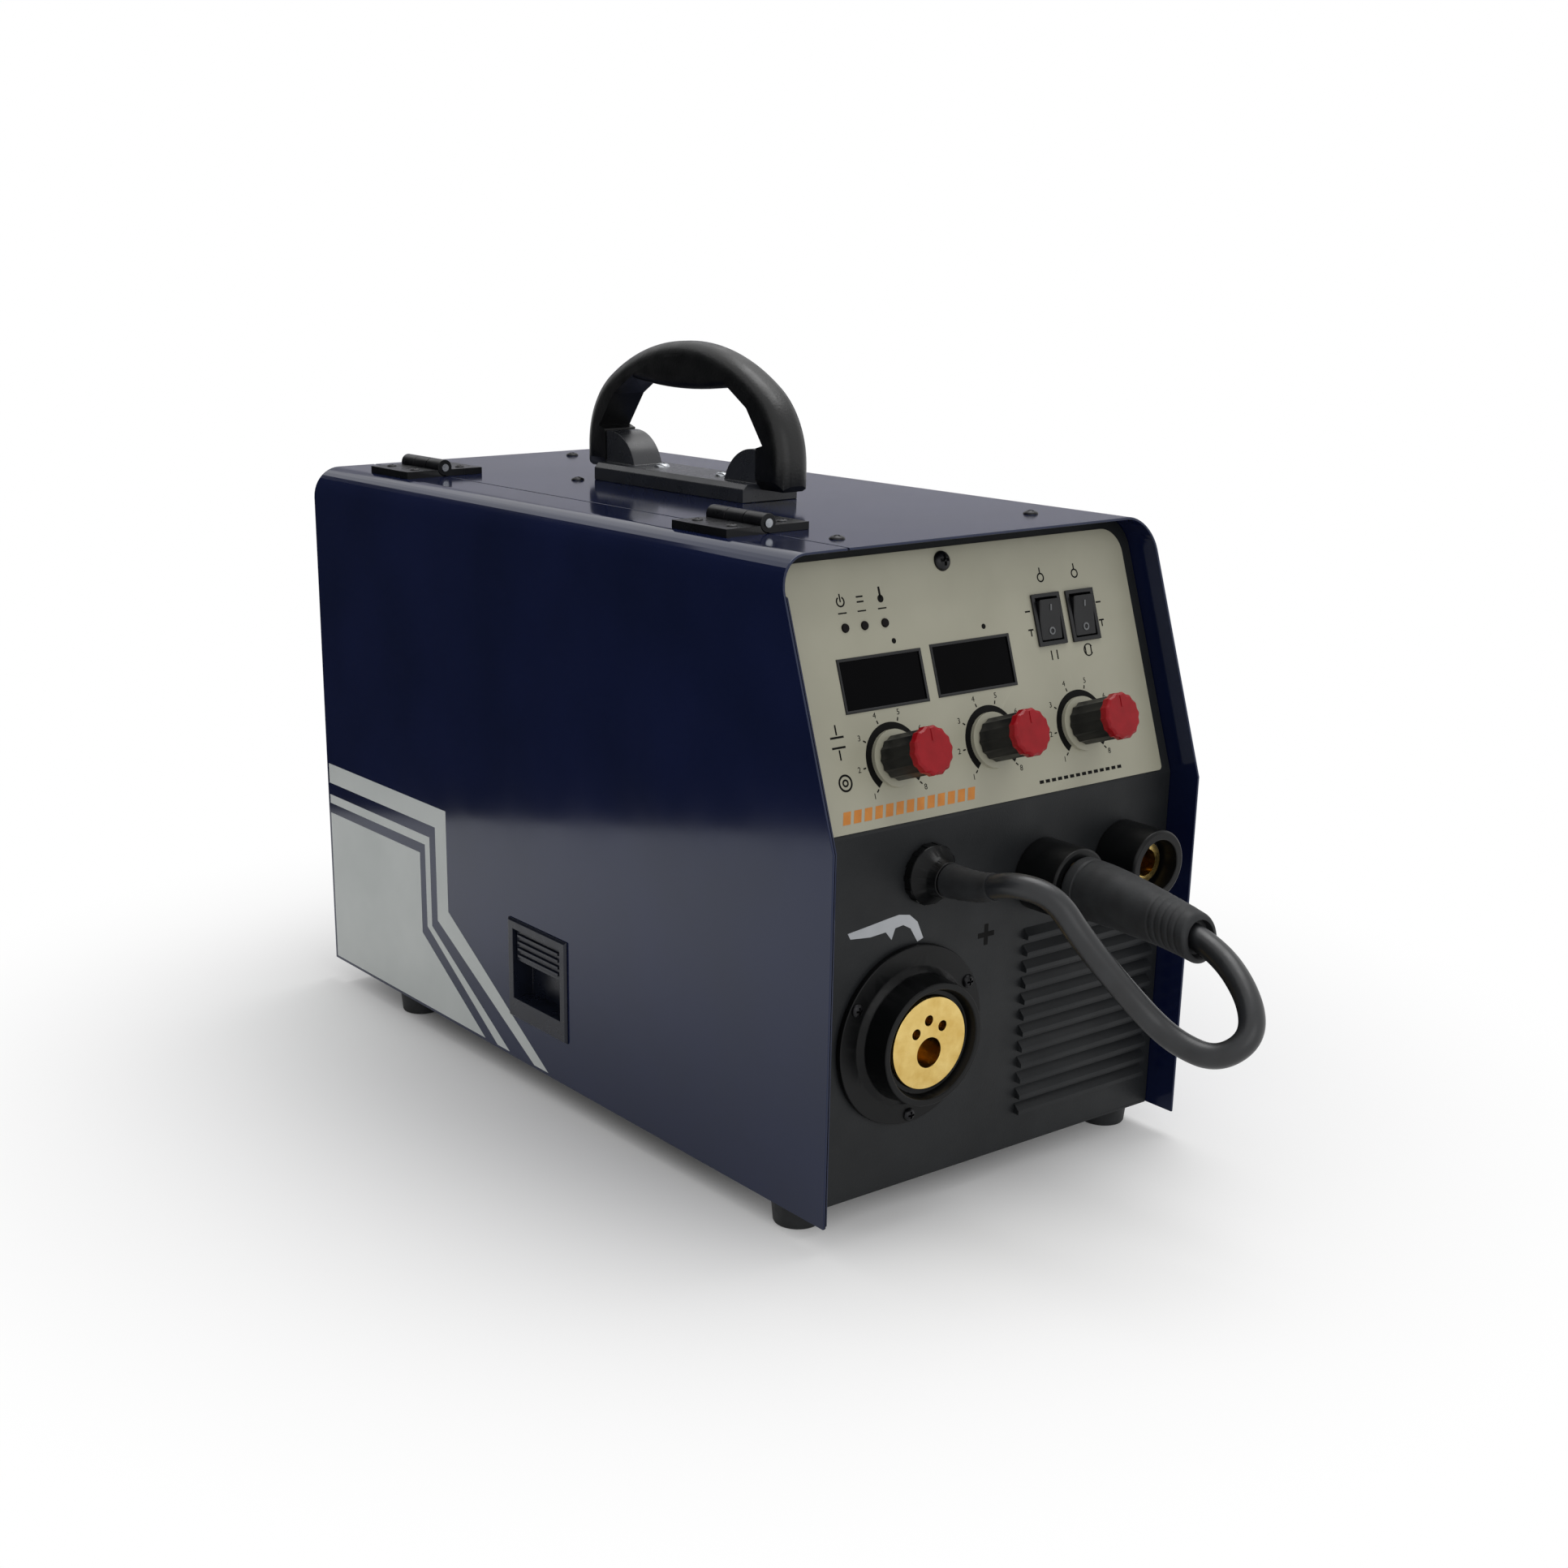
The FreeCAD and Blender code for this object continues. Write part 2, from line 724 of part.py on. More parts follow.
def socket_brass(x):
    body = rod(vector(x, 0, socket_z), rearward, socket_brass_radius, 48.0)
    bore = rod(vector(x, -1, socket_z), rearward, socket_bore_radius, socket_bore_depth + 1)
    keyway = block(x - 2.0, x + 2.0, -1, 12.0, socket_z, socket_z + socket_bore_radius + 1.8)
    return body.cut(bore.fuse(keyway))


def socket_brasses():
    return group([socket_brass(socket_centre_x), socket_brass(socket_right_x)])


# Polarity lead: gland, cord and plug

def gland_neck_radius():
    return 9.0


def polarity_gland():
    start = vector(gland_x, 0, gland_z)
    bore = cord_diameter / 2.0 + cord_fit
    neck = gland_neck_radius()
    front = gland_front_y
    outline = [(bore, front), (bore + 2.5, front), (neck, front + 5.0), (gland_radius, panel_front_y - 4.0),
               (gland_radius, panel_front_y), (neck, panel_front_y), (neck, panel_back_y + 8.0),
               (bore, panel_back_y + 8.0)]
    return turned(outline, start, rearward)


def cord_path():
    # Straight runs joined by tangent arcs, each as large as its two runs allow.
    points = [vector(*point) for point in cord_route]
    edges = []
    radii = []
    last = points[0]
    for before, corner, after in zip(points, points[1:], points[2:]):
        incoming = corner - before
        outgoing = after - corner
        shorter = min(incoming.Length, outgoing.Length)
        turn = incoming.getAngle(outgoing)
        radius = 0.45 * shorter / math.tan(turn / 2.0)
        radii.append(round(radius, 1))
        reach = 0.45 * shorter
        start = corner - incoming.normalize() * reach
        end = corner + outgoing.normalize() * reach
        inward = (start + end) * 0.5 - corner
        depth = radius / math.cos(turn / 2.0) - radius
        middle = corner + inward.normalize() * depth
        edges.append(Part.LineSegment(last, start).toShape())
        edges.append(Part.Arc(start, middle, end).toShape())
        last = end
    edges.append(Part.LineSegment(last, points[-1]).toShape())
    return Part.Wire(edges), radii


def polarity_cable():
    path, radii = cord_path()
    start = vector(*cord_route[0])
    heading = vector(*cord_route[1]) - start
    circle = Part.Wire(Part.makeCircle(cord_diameter / 2.0, start, heading))
    cable = path.makePipeShell([circle], True, True)
    expected = math.pi * (cord_diameter / 2.0) ** 2 * path.Length
    print("cord length", round(path.Length, 1), "bend radii", radii)
    print("cord volume over section times length", round(cable.Volume / expected, 4))
    return cable


def plug_pin():
    # The plug's brass pin, which reaches from inside the boot into the socket.
    start = socket_rim_y - 12.0
    length = socket_bore_depth - 8.0 - start
    return rod(vector(socket_centre_x, start, socket_z), rearward, socket_bore_radius - 0.2, length)


def polarity_plug():
    # A tapered rubber boot that droops a little, lofted through circles, with its pin and cord bore.
    front_y = socket_rim_y - 0.3
    droop = math.radians(plug_tail_droop)
    tail = vector(0, math.cos(droop), math.sin(droop))
    rear = vector(socket_centre_x, plug_rear_y, plug_rear_z)
    sections = []
    for back, drop, taper in ((0, 0, 0), (24.0, 0.6, 0.6), (50.0, 3.0, 2.6)):
        centre = vector(socket_centre_x, front_y - back, socket_z - drop)
        sections.append(Part.Wire(Part.makeCircle(plug_front_radius - taper, centre, rearward)))
    sections.append(Part.Wire(Part.makeCircle(plug_rear_radius, rear, tail)))
    boot = Part.makeLoft(sections, True)
    cord_bore = rod(rear - tail * 2.0, tail, cord_diameter / 2.0 + cord_fit, 11.2)
    return boot.cut(cord_bore).fuse(plug_pin())


# Door hinges and latch

def hinge_leaf(y, side):
    # One leaf of a square hinge: side is 1 for the leaf on the fixed cover, -1 for the door's leaf.
    low = y - hinge_length / 2.0
    high = y + hinge_length / 2.0
    knuckle = hinge_knuckle_radius
    third = hinge_length / 3.0
    outer = hinge_x + side * (knuckle + hinge_leaf_width)
    inner = hinge_x + side * seam_gap / 2.0
    plate = block(min(inner, outer), max(inner, outer), low, high, case_height,
                  case_height + hinge_leaf_thickness)
    if side > 0:
        mine = [(low, low + third), (high - third, high)]
        other = [(low + third, high - third)]
    else:
        mine = [(low + third + hinge_clearance, high - third - hinge_clearance)]
        other = [(low, low + third + hinge_clearance), (high - third - hinge_clearance, high)]
    spare = 0.01
    if side > 0:
        spare += hinge_clearance
    clear = [rod(vector(hinge_x, start - spare, hinge_z), rearward, knuckle + hinge_clearance,
                 end - start + 2.0 * spare) for start, end in other]
    solid = plate.cut(group(clear))
    barrels = [rod(vector(hinge_x, start, hinge_z), rearward, knuckle, end - start)
               for start, end in mine]
    bore = hinge_pin_radius + hinge_fit
    pin_hole = rod(vector(hinge_x, low - 1, hinge_z), rearward, bore, hinge_length + 2)
    return join([solid] + barrels).cut(pin_hole)


def hinge_fixed_leaves():
    return group([hinge_leaf(y, 1) for y in hinge_centres_y])


def hinge_door_leaves():
    return group([hinge_leaf(y, -1) for y in hinge_centres_y])


def hinge_pins():
    pins = []
    for y in hinge_centres_y:
        start = vector(hinge_x, y - hinge_length / 2.0 - 0.6, hinge_z)
        pins.append(rod(start, rearward, hinge_pin_radius, hinge_length + 1.2))
    return group(pins)


def latch_block(y0, y1, z0, z1, x0, x1):
    return block(x0, x1, latch_y + y0, latch_y + y1, latch_z + z0, latch_z + z1)


def latch_housing():
    # A framed finger well let into the door, with an opening for the slide above it.
    half = latch_size / 2.0
    skin = -half_width
    inner = skin + latch_depth
    flange = latch_block(-half, half, -half, half, skin - latch_flange_proud, skin)
    flange_edges = [edge for edge in flange.Edges if abs(edge.BoundBox.XLength) < 0.01
                    and edge.BoundBox.XMin < skin - 0.5]
    flange = flange.makeChamfer(1.0, flange_edges)
    body = half - 2.2
    tray = latch_block(-body, body, -body, body, skin, inner)
    well = latch_block(-body + 3.0, body - 3.0, -body + 9.0, body - 3.0, skin - 3.0, inner - 1.6)
    slot = latch_block(-6.5, 6.5, body - 24.0, body - 3.0, inner - 2.0, inner + 1.0)
    return join([flange, tray]).cut(well.fuse(slot))


def latch_slide():
    # A ribbed thumb plate at the top of the well, with a neck through the back and a hook behind it.
    half = latch_size / 2.0
    body = half - 2.2
    skin = -half_width
    inner = skin + latch_depth
    front = skin - 0.6
    low = body - 3.4 - 17.0
    plate = latch_block(-body + 3.4, body - 3.4, low, body - 3.4, front + 1.2, inner - 1.85)
    ribs = []
    for index in range(4):
        z = low + 2.5 + index * 3.6
        ribs.append(latch_block(-body + 6.0, body - 6.0, z, z + 1.6, front, front + 1.4))
    neck = latch_block(-5.8, 5.8, body - 13.0, body - 5.0, inner - 1.85, inner + 3.0)
    hook = latch_block(-5.8, 5.8, body - 13.0 - latch_hook_reach, body - 5.0, inner + 3.0, inner + 5.0)
    return group([join([plate] + ribs), neck, hook])


def latch_keeper():
    # The striker: an upright plate welded to the floor, behind which the hook drops.
    half = latch_size / 2.0
    body = half - 2.2
    inner = -half_width + latch_depth
    top = latch_z + body - 13.0 - latch_hook_reach - 1.2
    x0 = inner + 0.8
    x1 = x0 + base_thickness
    return block(x0, x1, latch_y - 14.0, latch_y + 14.0, base_thickness, top)


# Carry handle

def handle_base():
    # A bar screwed to the cover, with a rounded gusset and a pivot pin at each end.
    inner_y = handle_half_span - handle_leg_thickness / 2.0 - handle_ear_clearance
    half = handle_base_width / 2.0
    top = case_height + handle_base_height
    profile = [(-half, case_height), (half, case_height), (half, top - 2.5), (half - 2.5, top),
               (-half + 2.5, top), (-half, top - 2.5)]
    bar = front_profile(profile, handle_y - inner_y, handle_y + inner_y)
    pieces = [bar]
    for end in (-1, 1):
        pieces.append(handle_ear(handle_y + end * inner_y, -end))
        pin_start = vector(0, handle_y + end * (inner_y - 8.0), handle_pivot_z)
        pieces.append(rod(pin_start, rearward * end, handle_pin_radius, 8.0 + handle_pin_reach()))
    return join(pieces)


def handle_pin_reach():
    return handle_leg_thickness * 0.6


def handle_ear(y, inward):
    # A gusset that rises in a curve to the pivot: upright at the leg, sloping down inboard.
    rise = handle_pivot_rise + 10.0
    low = case_height + handle_base_height - 1.0
    high = case_height + rise
    length = handle_ear_length
    near = vector(0, y, high)
    foot = vector(0, y + inward * length, low)
    bend = math.sqrt(0.5)
    middle = vector(0, y + inward * length * bend, low + (high - low) * bend)
    edges = [Part.Arc(near, middle, foot).toShape(),
             Part.LineSegment(foot, vector(0, y, low)).toShape(),
             Part.LineSegment(vector(0, y, low), near).toShape()]
    face = Part.Face(Part.Wire(edges))
    face.translate(vector(-handle_width / 2.0 + 1.0, 0, 0))
    return face.extrude(vector(handle_width - 2.0, 0, 0))


def carry_handle():
    # An arch in one moulding: outer curve, inner gap with a bellied grip, legs on the pivot pins.
    outer = handle_half_span + handle_leg_thickness / 2.0
    inner = handle_half_span - handle_leg_thickness / 2.0
    low = case_height + 6.0
    top = case_height + handle_rise
    # above this height the legs curve in; a taller handle has longer legs under the same arch
    spring_z = max(handle_pivot_z + 2.0, top - handle_arch_height)
    height = top - spring_z
    small = min(handle_shoulder_radius, 0.8 * height)
    large = ((outer - small) ** 2 + height ** 2 - small ** 2) / (2.0 * (height - small))
    lean = math.atan2(outer - small, spring_z - (top - large))
    half_lean = (lean + math.pi / 2.0) / 2.0
    shoulder = (outer - small + small * math.sin(lean), spring_z + small * math.cos(lean))
    bend = (outer - small + small * math.sin(half_lean), spring_z + small * math.cos(half_lean))
    crown = (large * math.sin(lean / 2.0), top - large + large * math.cos(lean / 2.0))
    step_z = handle_pivot_z + 11.0
    under = top - handle_grip_thickness
    belly = under - handle_grip_belly
    legs = [(outer, spring_z), (outer, low + 3.0), (outer - 3.0, low), (inner, low), (inner, step_z),
            (inner + 5.0, step_z + 1.5), (inner - 8.0, under - 9.0), (inner - 23.0, under)]
    edges = []
    for side in (-1, 1):
        edges.append(handle_curve([(outer, spring_z), bend, shoulder], side))
        edges.append(handle_curve([shoulder, crown, (0, top)], side))
        for start, end in zip(legs, legs[1:]):
            edges.append(handle_line(start, end, side))
    last = legs[-1]
    edges.append(handle_curve([(-last[0], last[1]), (0, belly), last], 1))
    half = handle_width / 2.0
    face = Part.Face(Part.Wire(Part.__sortEdges__(edges)))
    face.translate(vector(-half, 0, 0))
    arch = face.extrude(vector(handle_width, 0, 0))
    arch = rounded_along(arch, half, top)
    trim = [(-half + 4.0, low), (-half, low + 5.0), (-half, top + 1.0), (half, top + 1.0),
            (half, low + 5.0), (half - 4.0, low)]
    arch = arch.common(front_profile(trim, handle_y - outer, handle_y + outer))
    bores = []
    for end in (-1, 1):
        start = vector(0, handle_y + end * (inner - 1.0), handle_pivot_z)
        bore = handle_pin_radius + handle_pin_fit
        bores.append(rod(start, rearward * end, bore, handle_pin_reach() + 1.5))
    return arch.cut(group(bores))


def handle_point(point, side):
    return vector(0, handle_y + side * point[0], point[1])


def handle_curve(points, side):
    return Part.Arc(*[handle_point(point, side) for point in points]).toShape()


def handle_line(start, end, side):
    return Part.LineSegment(handle_point(start, side), handle_point(end, side)).toShape()


def rounded_along(arch, half, top):
    # Rounds the long edges of the arch: the outer curve fully, the grip's belly a little less.
    outer_edges = []
    belly_edges = []
    for edge in arch.Edges:
        box = edge.BoundBox
        flat = box.XLength < 0.01 and abs(abs(box.XMin) - half) < 0.01
        if not flat or not hasattr(edge.Curve, "Radius"):
            continue
        central = abs(box.YMax + box.YMin - 2 * handle_y) < 1.0
        if central and box.ZMin < top - handle_grip_thickness:
            belly_edges.append(edge)
        else:
            outer_edges.append(edge)
    return arch.makeFillet(handle_round, outer_edges).makeFillet(handle_under_round, belly_edges)


# Wire feeder

def motor_radius():
    return 26.0


def feeder_plate():
    # A cast plate with bosses for the arm, the lever and the two wire guides.
    x1 = feeder_plate_x + feeder_plate_thickness
    low = 34.0
    outline = [(64.0, low), (150.0, low), (150.0, 84.0), (142.0, 100.0), (126.0, 100.0), (120.0, 92.0),
               (90.0, 92.0), (64.0, 92.0)]
    plate = side_profile(outline, feeder_plate_x, x1)
    outlet = block(torch_x - 6.0, feeder_plate_x, 66.0, 87.0, wire_z - 6.5, lever_pivot_z - 5.6)
    inlet = block(torch_x - 6.0, feeder_plate_x, 127.0, 147.0, wire_z - 8.0, wire_z + 8.0)
    feet = [block(x1, divider_left, y, y + 8.0, low, low + 8.0) for y in (66.0, 140.0)]
    feet += [block(x1, divider_left, y, y + 8.0, 84.0 - 8.0, 84.0) for y in (66.0, 140.0)]
    body = join([plate, outlet, inlet] + feet)
    cuts = [rod(vector(torch_x, 60.0, wire_z), rearward, 4.0, 95.0)]
    for y, z, radius in ((feed_roll_y, drive_roll_z, drive_shaft_radius + shaft_fit),
                         (arm_pivot_y, arm_pivot_z, pin_radius()),
                         (lever_pivot_y, lever_pivot_z, pin_radius())):
        cuts.append(rod(vector(feeder_plate_x - 9.0, y, z), across, radius, 20.0))
    return body.cut(group(cuts))


def pin_radius():
    return 2.5


def feeder_pins():
    # The pins that the pressure arm and the tension lever turn on, with their heads.
    places = [(arm_pivot_y, arm_pivot_z, arm_outer_x() - 0.4),
              (lever_pivot_y, lever_pivot_z, torch_x - lever_eye_half() - 0.4)]
    inner = feeder_plate_x + feeder_plate_thickness
    pins = []
    for y, z, outer in places:
        shaft = rod(vector(outer, y, z), across, pin_radius(), inner - outer)
        head = rod(vector(outer - 1.6, y, z), across, 4.4, 1.6)
        pins.append(shaft.fuse(head))
    return group(pins)


def arm_outer_x():
    return torch_x - roll_width / 2.0 - 5.0


def lever_eye_half():
    return 4.5


def drive_motor():
    # The gearbox bolted to the divider, and the motor that reaches through it.
    x0 = feeder_plate_x + feeder_plate_thickness + 1.0
    half = 29.0
    box = block(x0, divider_left, feed_roll_y - half, feed_roll_y + half, drive_roll_z - half + 6.0,
                drive_roll_z + half)
    output_boss = rod(vector(x0 - 1.0, feed_roll_y, drive_roll_z), across, 9.0, 2.0)
    clear = [block(x0 - 1, divider_left + 1, y, y + 8.0 + 1.2, z, z + 9.2)
             for y in (65.4, 139.4) for z in (33.4, 75.4)]
    can = rod(vector(divider_left, feed_roll_y, drive_roll_z), across, motor_radius(), 80.0)
    tail = rod(vector(divider_left + 80.0, feed_roll_y, drive_roll_z), across, 9.0, 4.0)
    motor = join([box.cut(group(clear)), output_boss, can, tail])
    bore = rod(vector(x0 - 2, feed_roll_y, drive_roll_z), across, drive_shaft_radius + shaft_fit, 24.0)
    return motor.cut(bore)


def drive_roll():
    # A steel roll with a V groove, on the output shaft.
    half = roll_width / 2.0
    radius = drive_roll_radius
    outline = [(drive_shaft_radius, -half), (radius, -half), (radius, -1.0), (radius - 0.9, 0),
               (radius, 1.0), (radius, half), (drive_shaft_radius, half)]
    return turned(outline, vector(torch_x, feed_roll_y, drive_roll_z), across)


def drive_shaft():
    # The output shaft, with the knurled cap that holds the roll on.
    outer = torch_x - roll_width / 2.0
    shaft = rod(vector(outer, feed_roll_y, drive_roll_z), across, drive_shaft_radius,
                feeder_plate_x + 26.0 - outer)
    corners = []
    sides = 16
    for index in range(sides):
        angle = 2.0 * math.pi * index / sides
        corners.append(vector(outer - 6.0, feed_roll_y + 8.0 * math.cos(angle),
                              drive_roll_z + 8.0 * math.sin(angle)))
    cap = Part.Face(Part.makePolygon(corners + [corners[0]])).extrude(vector(6.0, 0, 0))
    return shaft.fuse(cap)


def pressure_roll():
    half = roll_width / 2.0 - 0.4
    radius = pressure_roll_radius
    bore = pin_radius() + shaft_fit
    return turned([(bore, -half), (radius, -half), (radius, half), (bore, half)],
                  vector(torch_x, feed_roll_y, pressure_roll_z), across)


def pressure_arm():
    # A forked arm: two cheeks, a bridge over the roll, a slotted tongue and the roll's pin.
    outer = arm_outer_x()
    inner = feeder_plate_x - 1.5
    top = 98.0
    cheek = [(arm_pivot_y + 7.0, arm_pivot_z - 3.0), (arm_pivot_y + 7.0, arm_pivot_z + 4.0),
             (arm_pivot_y + 2.0, top - 1.0), (feed_roll_y, top), (90.0, top), (90.0, 92.0),
             (feed_roll_y - 7.0, pressure_roll_z - 5.0), (feed_roll_y + 5.0, pressure_roll_z - 5.5),
             (arm_pivot_y - 4.0, arm_pivot_z - 6.0), (arm_pivot_y + 3.0, arm_pivot_z - 6.5)]
    near = side_profile(cheek, outer, outer + 3.6)
    far = side_profile(cheek, inner - 3.6, inner)
    bridge = block(outer, inner, 72.0, arm_pivot_y - 3.0, top - 4.0, top)
    tongue_cut = block(torch_x - 3.9, torch_x + 3.9, 70.0, lever_pivot_y + 4.0, top - 6.0, top + 2.0)
    pin = rod(vector(outer, feed_roll_y, pressure_roll_z), across, pin_radius(), inner - outer)
    sleeve = rod(vector(outer, arm_pivot_y, arm_pivot_z), across, 5.5, inner - outer)
    arm = join([near, far, bridge, sleeve, pin])
    bore = rod(vector(outer - 1, arm_pivot_y, arm_pivot_z), across, pin_radius() + shaft_fit,
               inner - outer + 2)
    return arm.cut(tongue_cut.fuse(bore))


def swung(shape):
    # Turns an upright piece of the lever forward to where it rests, released.
    turned_shape = shape.copy()
    turned_shape.rotate(vector(torch_x, lever_pivot_y, lever_pivot_z), across, lever_rest_angle)
    return turned_shape


def tension_lever():
    # A swing bolt: an eye on the pivot pin, a rod screwed into it, and a washer that presses on the arm.
    half = lever_eye_half()
    pivot = vector(torch_x, lever_pivot_y, lever_pivot_z)
    eye = rod(vector(torch_x - half, lever_pivot_y, lever_pivot_z), across, 5.0, 2.0 * half)
    stem = rod(pivot, up, lever_rod_radius, lever_knob_base + 12.0).cut(eye)
    hub_length = feeder_plate_x - torch_x - half - 0.3
    hub = rod(vector(torch_x + half, lever_pivot_y, lever_pivot_z), across, 4.4, hub_length)
    bore = rod(vector(torch_x - half - 1, lever_pivot_y, lever_pivot_z), across, pin_radius() + shaft_fit,
               2.0 * half + hub_length + 2)
    return swung(group([join([eye, hub]).cut(bore), stem, lever_washer()]))


def lever_washer():
    # A ring on the rod, under the spring.
    radius = lever_rod_radius + shaft_fit
    start = vector(torch_x, lever_pivot_y, lever_pivot_z + lever_washer_base)
    disc = rod(start, up, lever_washer_radius, lever_washer_thickness)
    return disc.cut(rod(start, up, radius, lever_washer_thickness))


def tension_knob():
    # The tension knob, on the rod above the spring.
    base = lever_knob_base
    radius = lever_knob_radius
    top = base + lever_knob_length
    bore = lever_rod_radius + shaft_fit
    outline = [(0, base + 12.3), (bore, base + 12.3), (bore, base), (radius, base), (radius, top - 3.0),
               (radius - 3.0, top), (0, top)]
    return swung(turned(outline, vector(torch_x, lever_pivot_y, lever_pivot_z), up))


def tension_spring():
    # The spring's outline as a plain sleeve on the lever's rod, from the washer to the knob.
    low = lever_washer_base + lever_washer_thickness
    outline = [(spring_inner_radius, low), (spring_outer_radius, low),
               (spring_outer_radius, lever_knob_base), (spring_inner_radius, lever_knob_base)]
    return swung(turned(outline, vector(torch_x, lever_pivot_y, lever_pivot_z), up))


def wire_guides():
    # Brass tubes that lead the wire to the rolls and from them to the torch connector.
    outlet_end = feed_roll_y - 14.0
    inlet_start = feed_roll_y + 15.0
    start = vector(torch_x, 0, wire_z)
    bore = 1.6
    body = 4.0
    outlet = [(bore, 60.0), (body, 60.0), (body, outlet_end - 6.0), (bore + 0.4, outlet_end),
              (bore, outlet_end)]
    inlet = [(bore, inlet_start), (bore + 0.4, inlet_start), (body, inlet_start + 6.0), (body, 164.0),
             (bore, 164.0)]
    return group([turned(outlet, start, rearward), turned(inlet, start, rearward)])


# Spool holder

def spool_axle():
    # A flanged axle bolted to the divider, with a stepped spacer and a threaded end for the nut.
    radius = spool_axle_radius
    inner = spool_inner() - 0.3
    outline = [(0, -8.0), (5.9, -8.0), (5.9, 0), (24.0, 0), (24.0, 4.0), (13.0, 4.0), (13.0, inner),
               (radius, inner), (radius, spool_outer() + 12.0), (0, spool_outer() + 12.0)]
    return turned(outline, vector(divider_left, spool_y, spool_z), across.negative())


def spool_inner():
    # How far the hub's inner flange stands off the divider.
    return 34.0


def spool_outer():
    return spool_inner() + 4.0 + spool_hub_length


def spool_hub():
    # The hub that a wire spool slides on, with its stop flange, ribs and driving peg.
    inner = divider_left - spool_inner()
    bore = spool_axle_radius + shaft_fit
    outward = across.negative()
    start = vector(inner, spool_y, spool_z)
    length = 4.0 + spool_hub_length
    outline = [(bore, 0), (34.0, 0), (34.0, 4.0), (spool_hub_radius, 4.0), (spool_hub_radius, length),
               (spool_hub_radius - 4.0, length), (spool_hub_radius - 4.0, 10.0), (bore + 3.0, 10.0),
               (bore + 3.0, length), (bore, length)]
    hub = turned(outline, start, outward)
    peg = rod(vector(inner - 4.0, spool_y, spool_z + 29.5), outward, 3.0, 10.0)
    return hub.fuse(peg)


def hub_nut():
    # A six-lobed hand nut on the axle's end, just clear of the hub.
    start_x = divider_left - spool_outer() - 0.4
    thickness = 9.0
    corners = []
    lobes = 6
    for index in range(2 * lobes):
        radius = 19.0 if index % 2 == 0 else 15.5
        for turn in (-0.3, 0.3):
            angle = (index + turn) * math.pi / lobes
            corners.append(vector(start_x - thickness, spool_y + radius * math.cos(angle),
                                  spool_z + radius * math.sin(angle)))
    nut = Part.Face(Part.makePolygon(corners + [corners[0]])).extrude(vector(thickness, 0, 0))
    bore = rod(vector(start_x + 1, spool_y, spool_z), across.negative(),
               spool_axle_radius + shaft_fit, thickness + 3.0)
    return nut.cut(bore)


# Power side

def fan_frame():
    half = fan_size / 2.0
    front = rear_back_y - fan_depth
    body = block(fan_x - half, fan_x + half, front, rear_back_y, fan_z - half, fan_z + half)
    tunnel = rod(vector(fan_x, front - 1, fan_z), rearward, half - 3.0, fan_depth + 2)
    ring = body.cut(tunnel)
    plate_y = rear_back_y - 3.0
    hub = rod(vector(fan_x, plate_y, fan_z), rearward, fan_hub_radius, 3.0)
    arms = []
    for degrees in (45.0, 135.0, 225.0, 315.0):
        arm = block(0, half - 2.0, plate_y, plate_y + 3.0, -2.0, 2.0)
        arm.rotate(vector(0, 0, 0), rearward, degrees)
        arm.translate(vector(fan_x, 0, fan_z))
        arms.append(arm)
    pin = rod(vector(fan_x, plate_y - 12.0, fan_z), rearward, 2.0, 13.0)
    return join([ring, hub, pin] + arms)


def fan_blade():
    # A twisted blade, lofted from the hub to a larger, flatter tip.
    sections = []
    for radius, chord, pitch in ((fan_hub_radius - 0.6, 15.0, 52.0), (fan_size / 2.0 - 4.2, 24.0, 34.0)):
        angle = math.radians(pitch)
        along = vector(0, chord / 2.0 * math.sin(angle) * 0.72, chord / 2.0 * math.cos(angle))
        thick = vector(0, 0.7, 0)
        centre = vector(radius, 0, 0)
        near = centre - thick
        far = centre + thick
        corners = [near - along, near + along, far + along, far - along]
        sections.append(Part.makePolygon(corners + [corners[0]]))
    return Part.makeLoft(sections, True, True)


def fan_rotor():
    mid_y = rear_back_y - fan_depth / 2.0 - 1.5
    hub = rod(vector(fan_x, mid_y - 8.0, fan_z), rearward, fan_hub_radius, 16.0)
    bore = rod(vector(fan_x, mid_y - 1.0, fan_z), rearward, 2.0 + shaft_fit, 12.0)
    blades = []
    for index in range(fan_blades):
        blade = fan_blade()
        blade.rotate(vector(0, 0, 0), rearward, 360.0 * index / fan_blades)
        blade.translate(vector(fan_x, mid_y, fan_z))
        blades.append(blade)
    return join([hub] + blades).cut(bore)


def rear_panel():
    sheet = block(-skin_half_width, skin_half_width, rear_back_y, rear_face_y, base_thickness,
                  inner_top_z - 1.0)
    flange = panel_thickness
    depth = 12.0
    left = block(-skin_half_width, -skin_half_width + flange, rear_back_y - depth, rear_back_y,
                 base_flange_height + 2.0, inner_top_z - fold_radius)
    right = block(skin_half_width - flange, skin_half_width, rear_back_y - depth, rear_back_y,
                  base_flange_height + 2.0, inner_top_z - fold_radius)
    corner = fold_radius - cover_thickness
    panel = join([sheet, left, right])
    panel = panel.common(arch_outline(skin_half_width, inner_top_z, corner))
    cuts = [switch_block(switch_width + 2.0, switch_height + 2.0, rear_back_y - 1, rear_face_y + 1),
            rod(vector(cord_gland_x, rear_back_y - 1, cord_gland_z), rearward, cord_gland_neck(), 4),
            rod(vector(gas_inlet_x, rear_back_y - 1, gas_inlet_z), rearward, 6.0, 4)]
    cuts += fan_slots()
    return panel.cut(group(cuts))


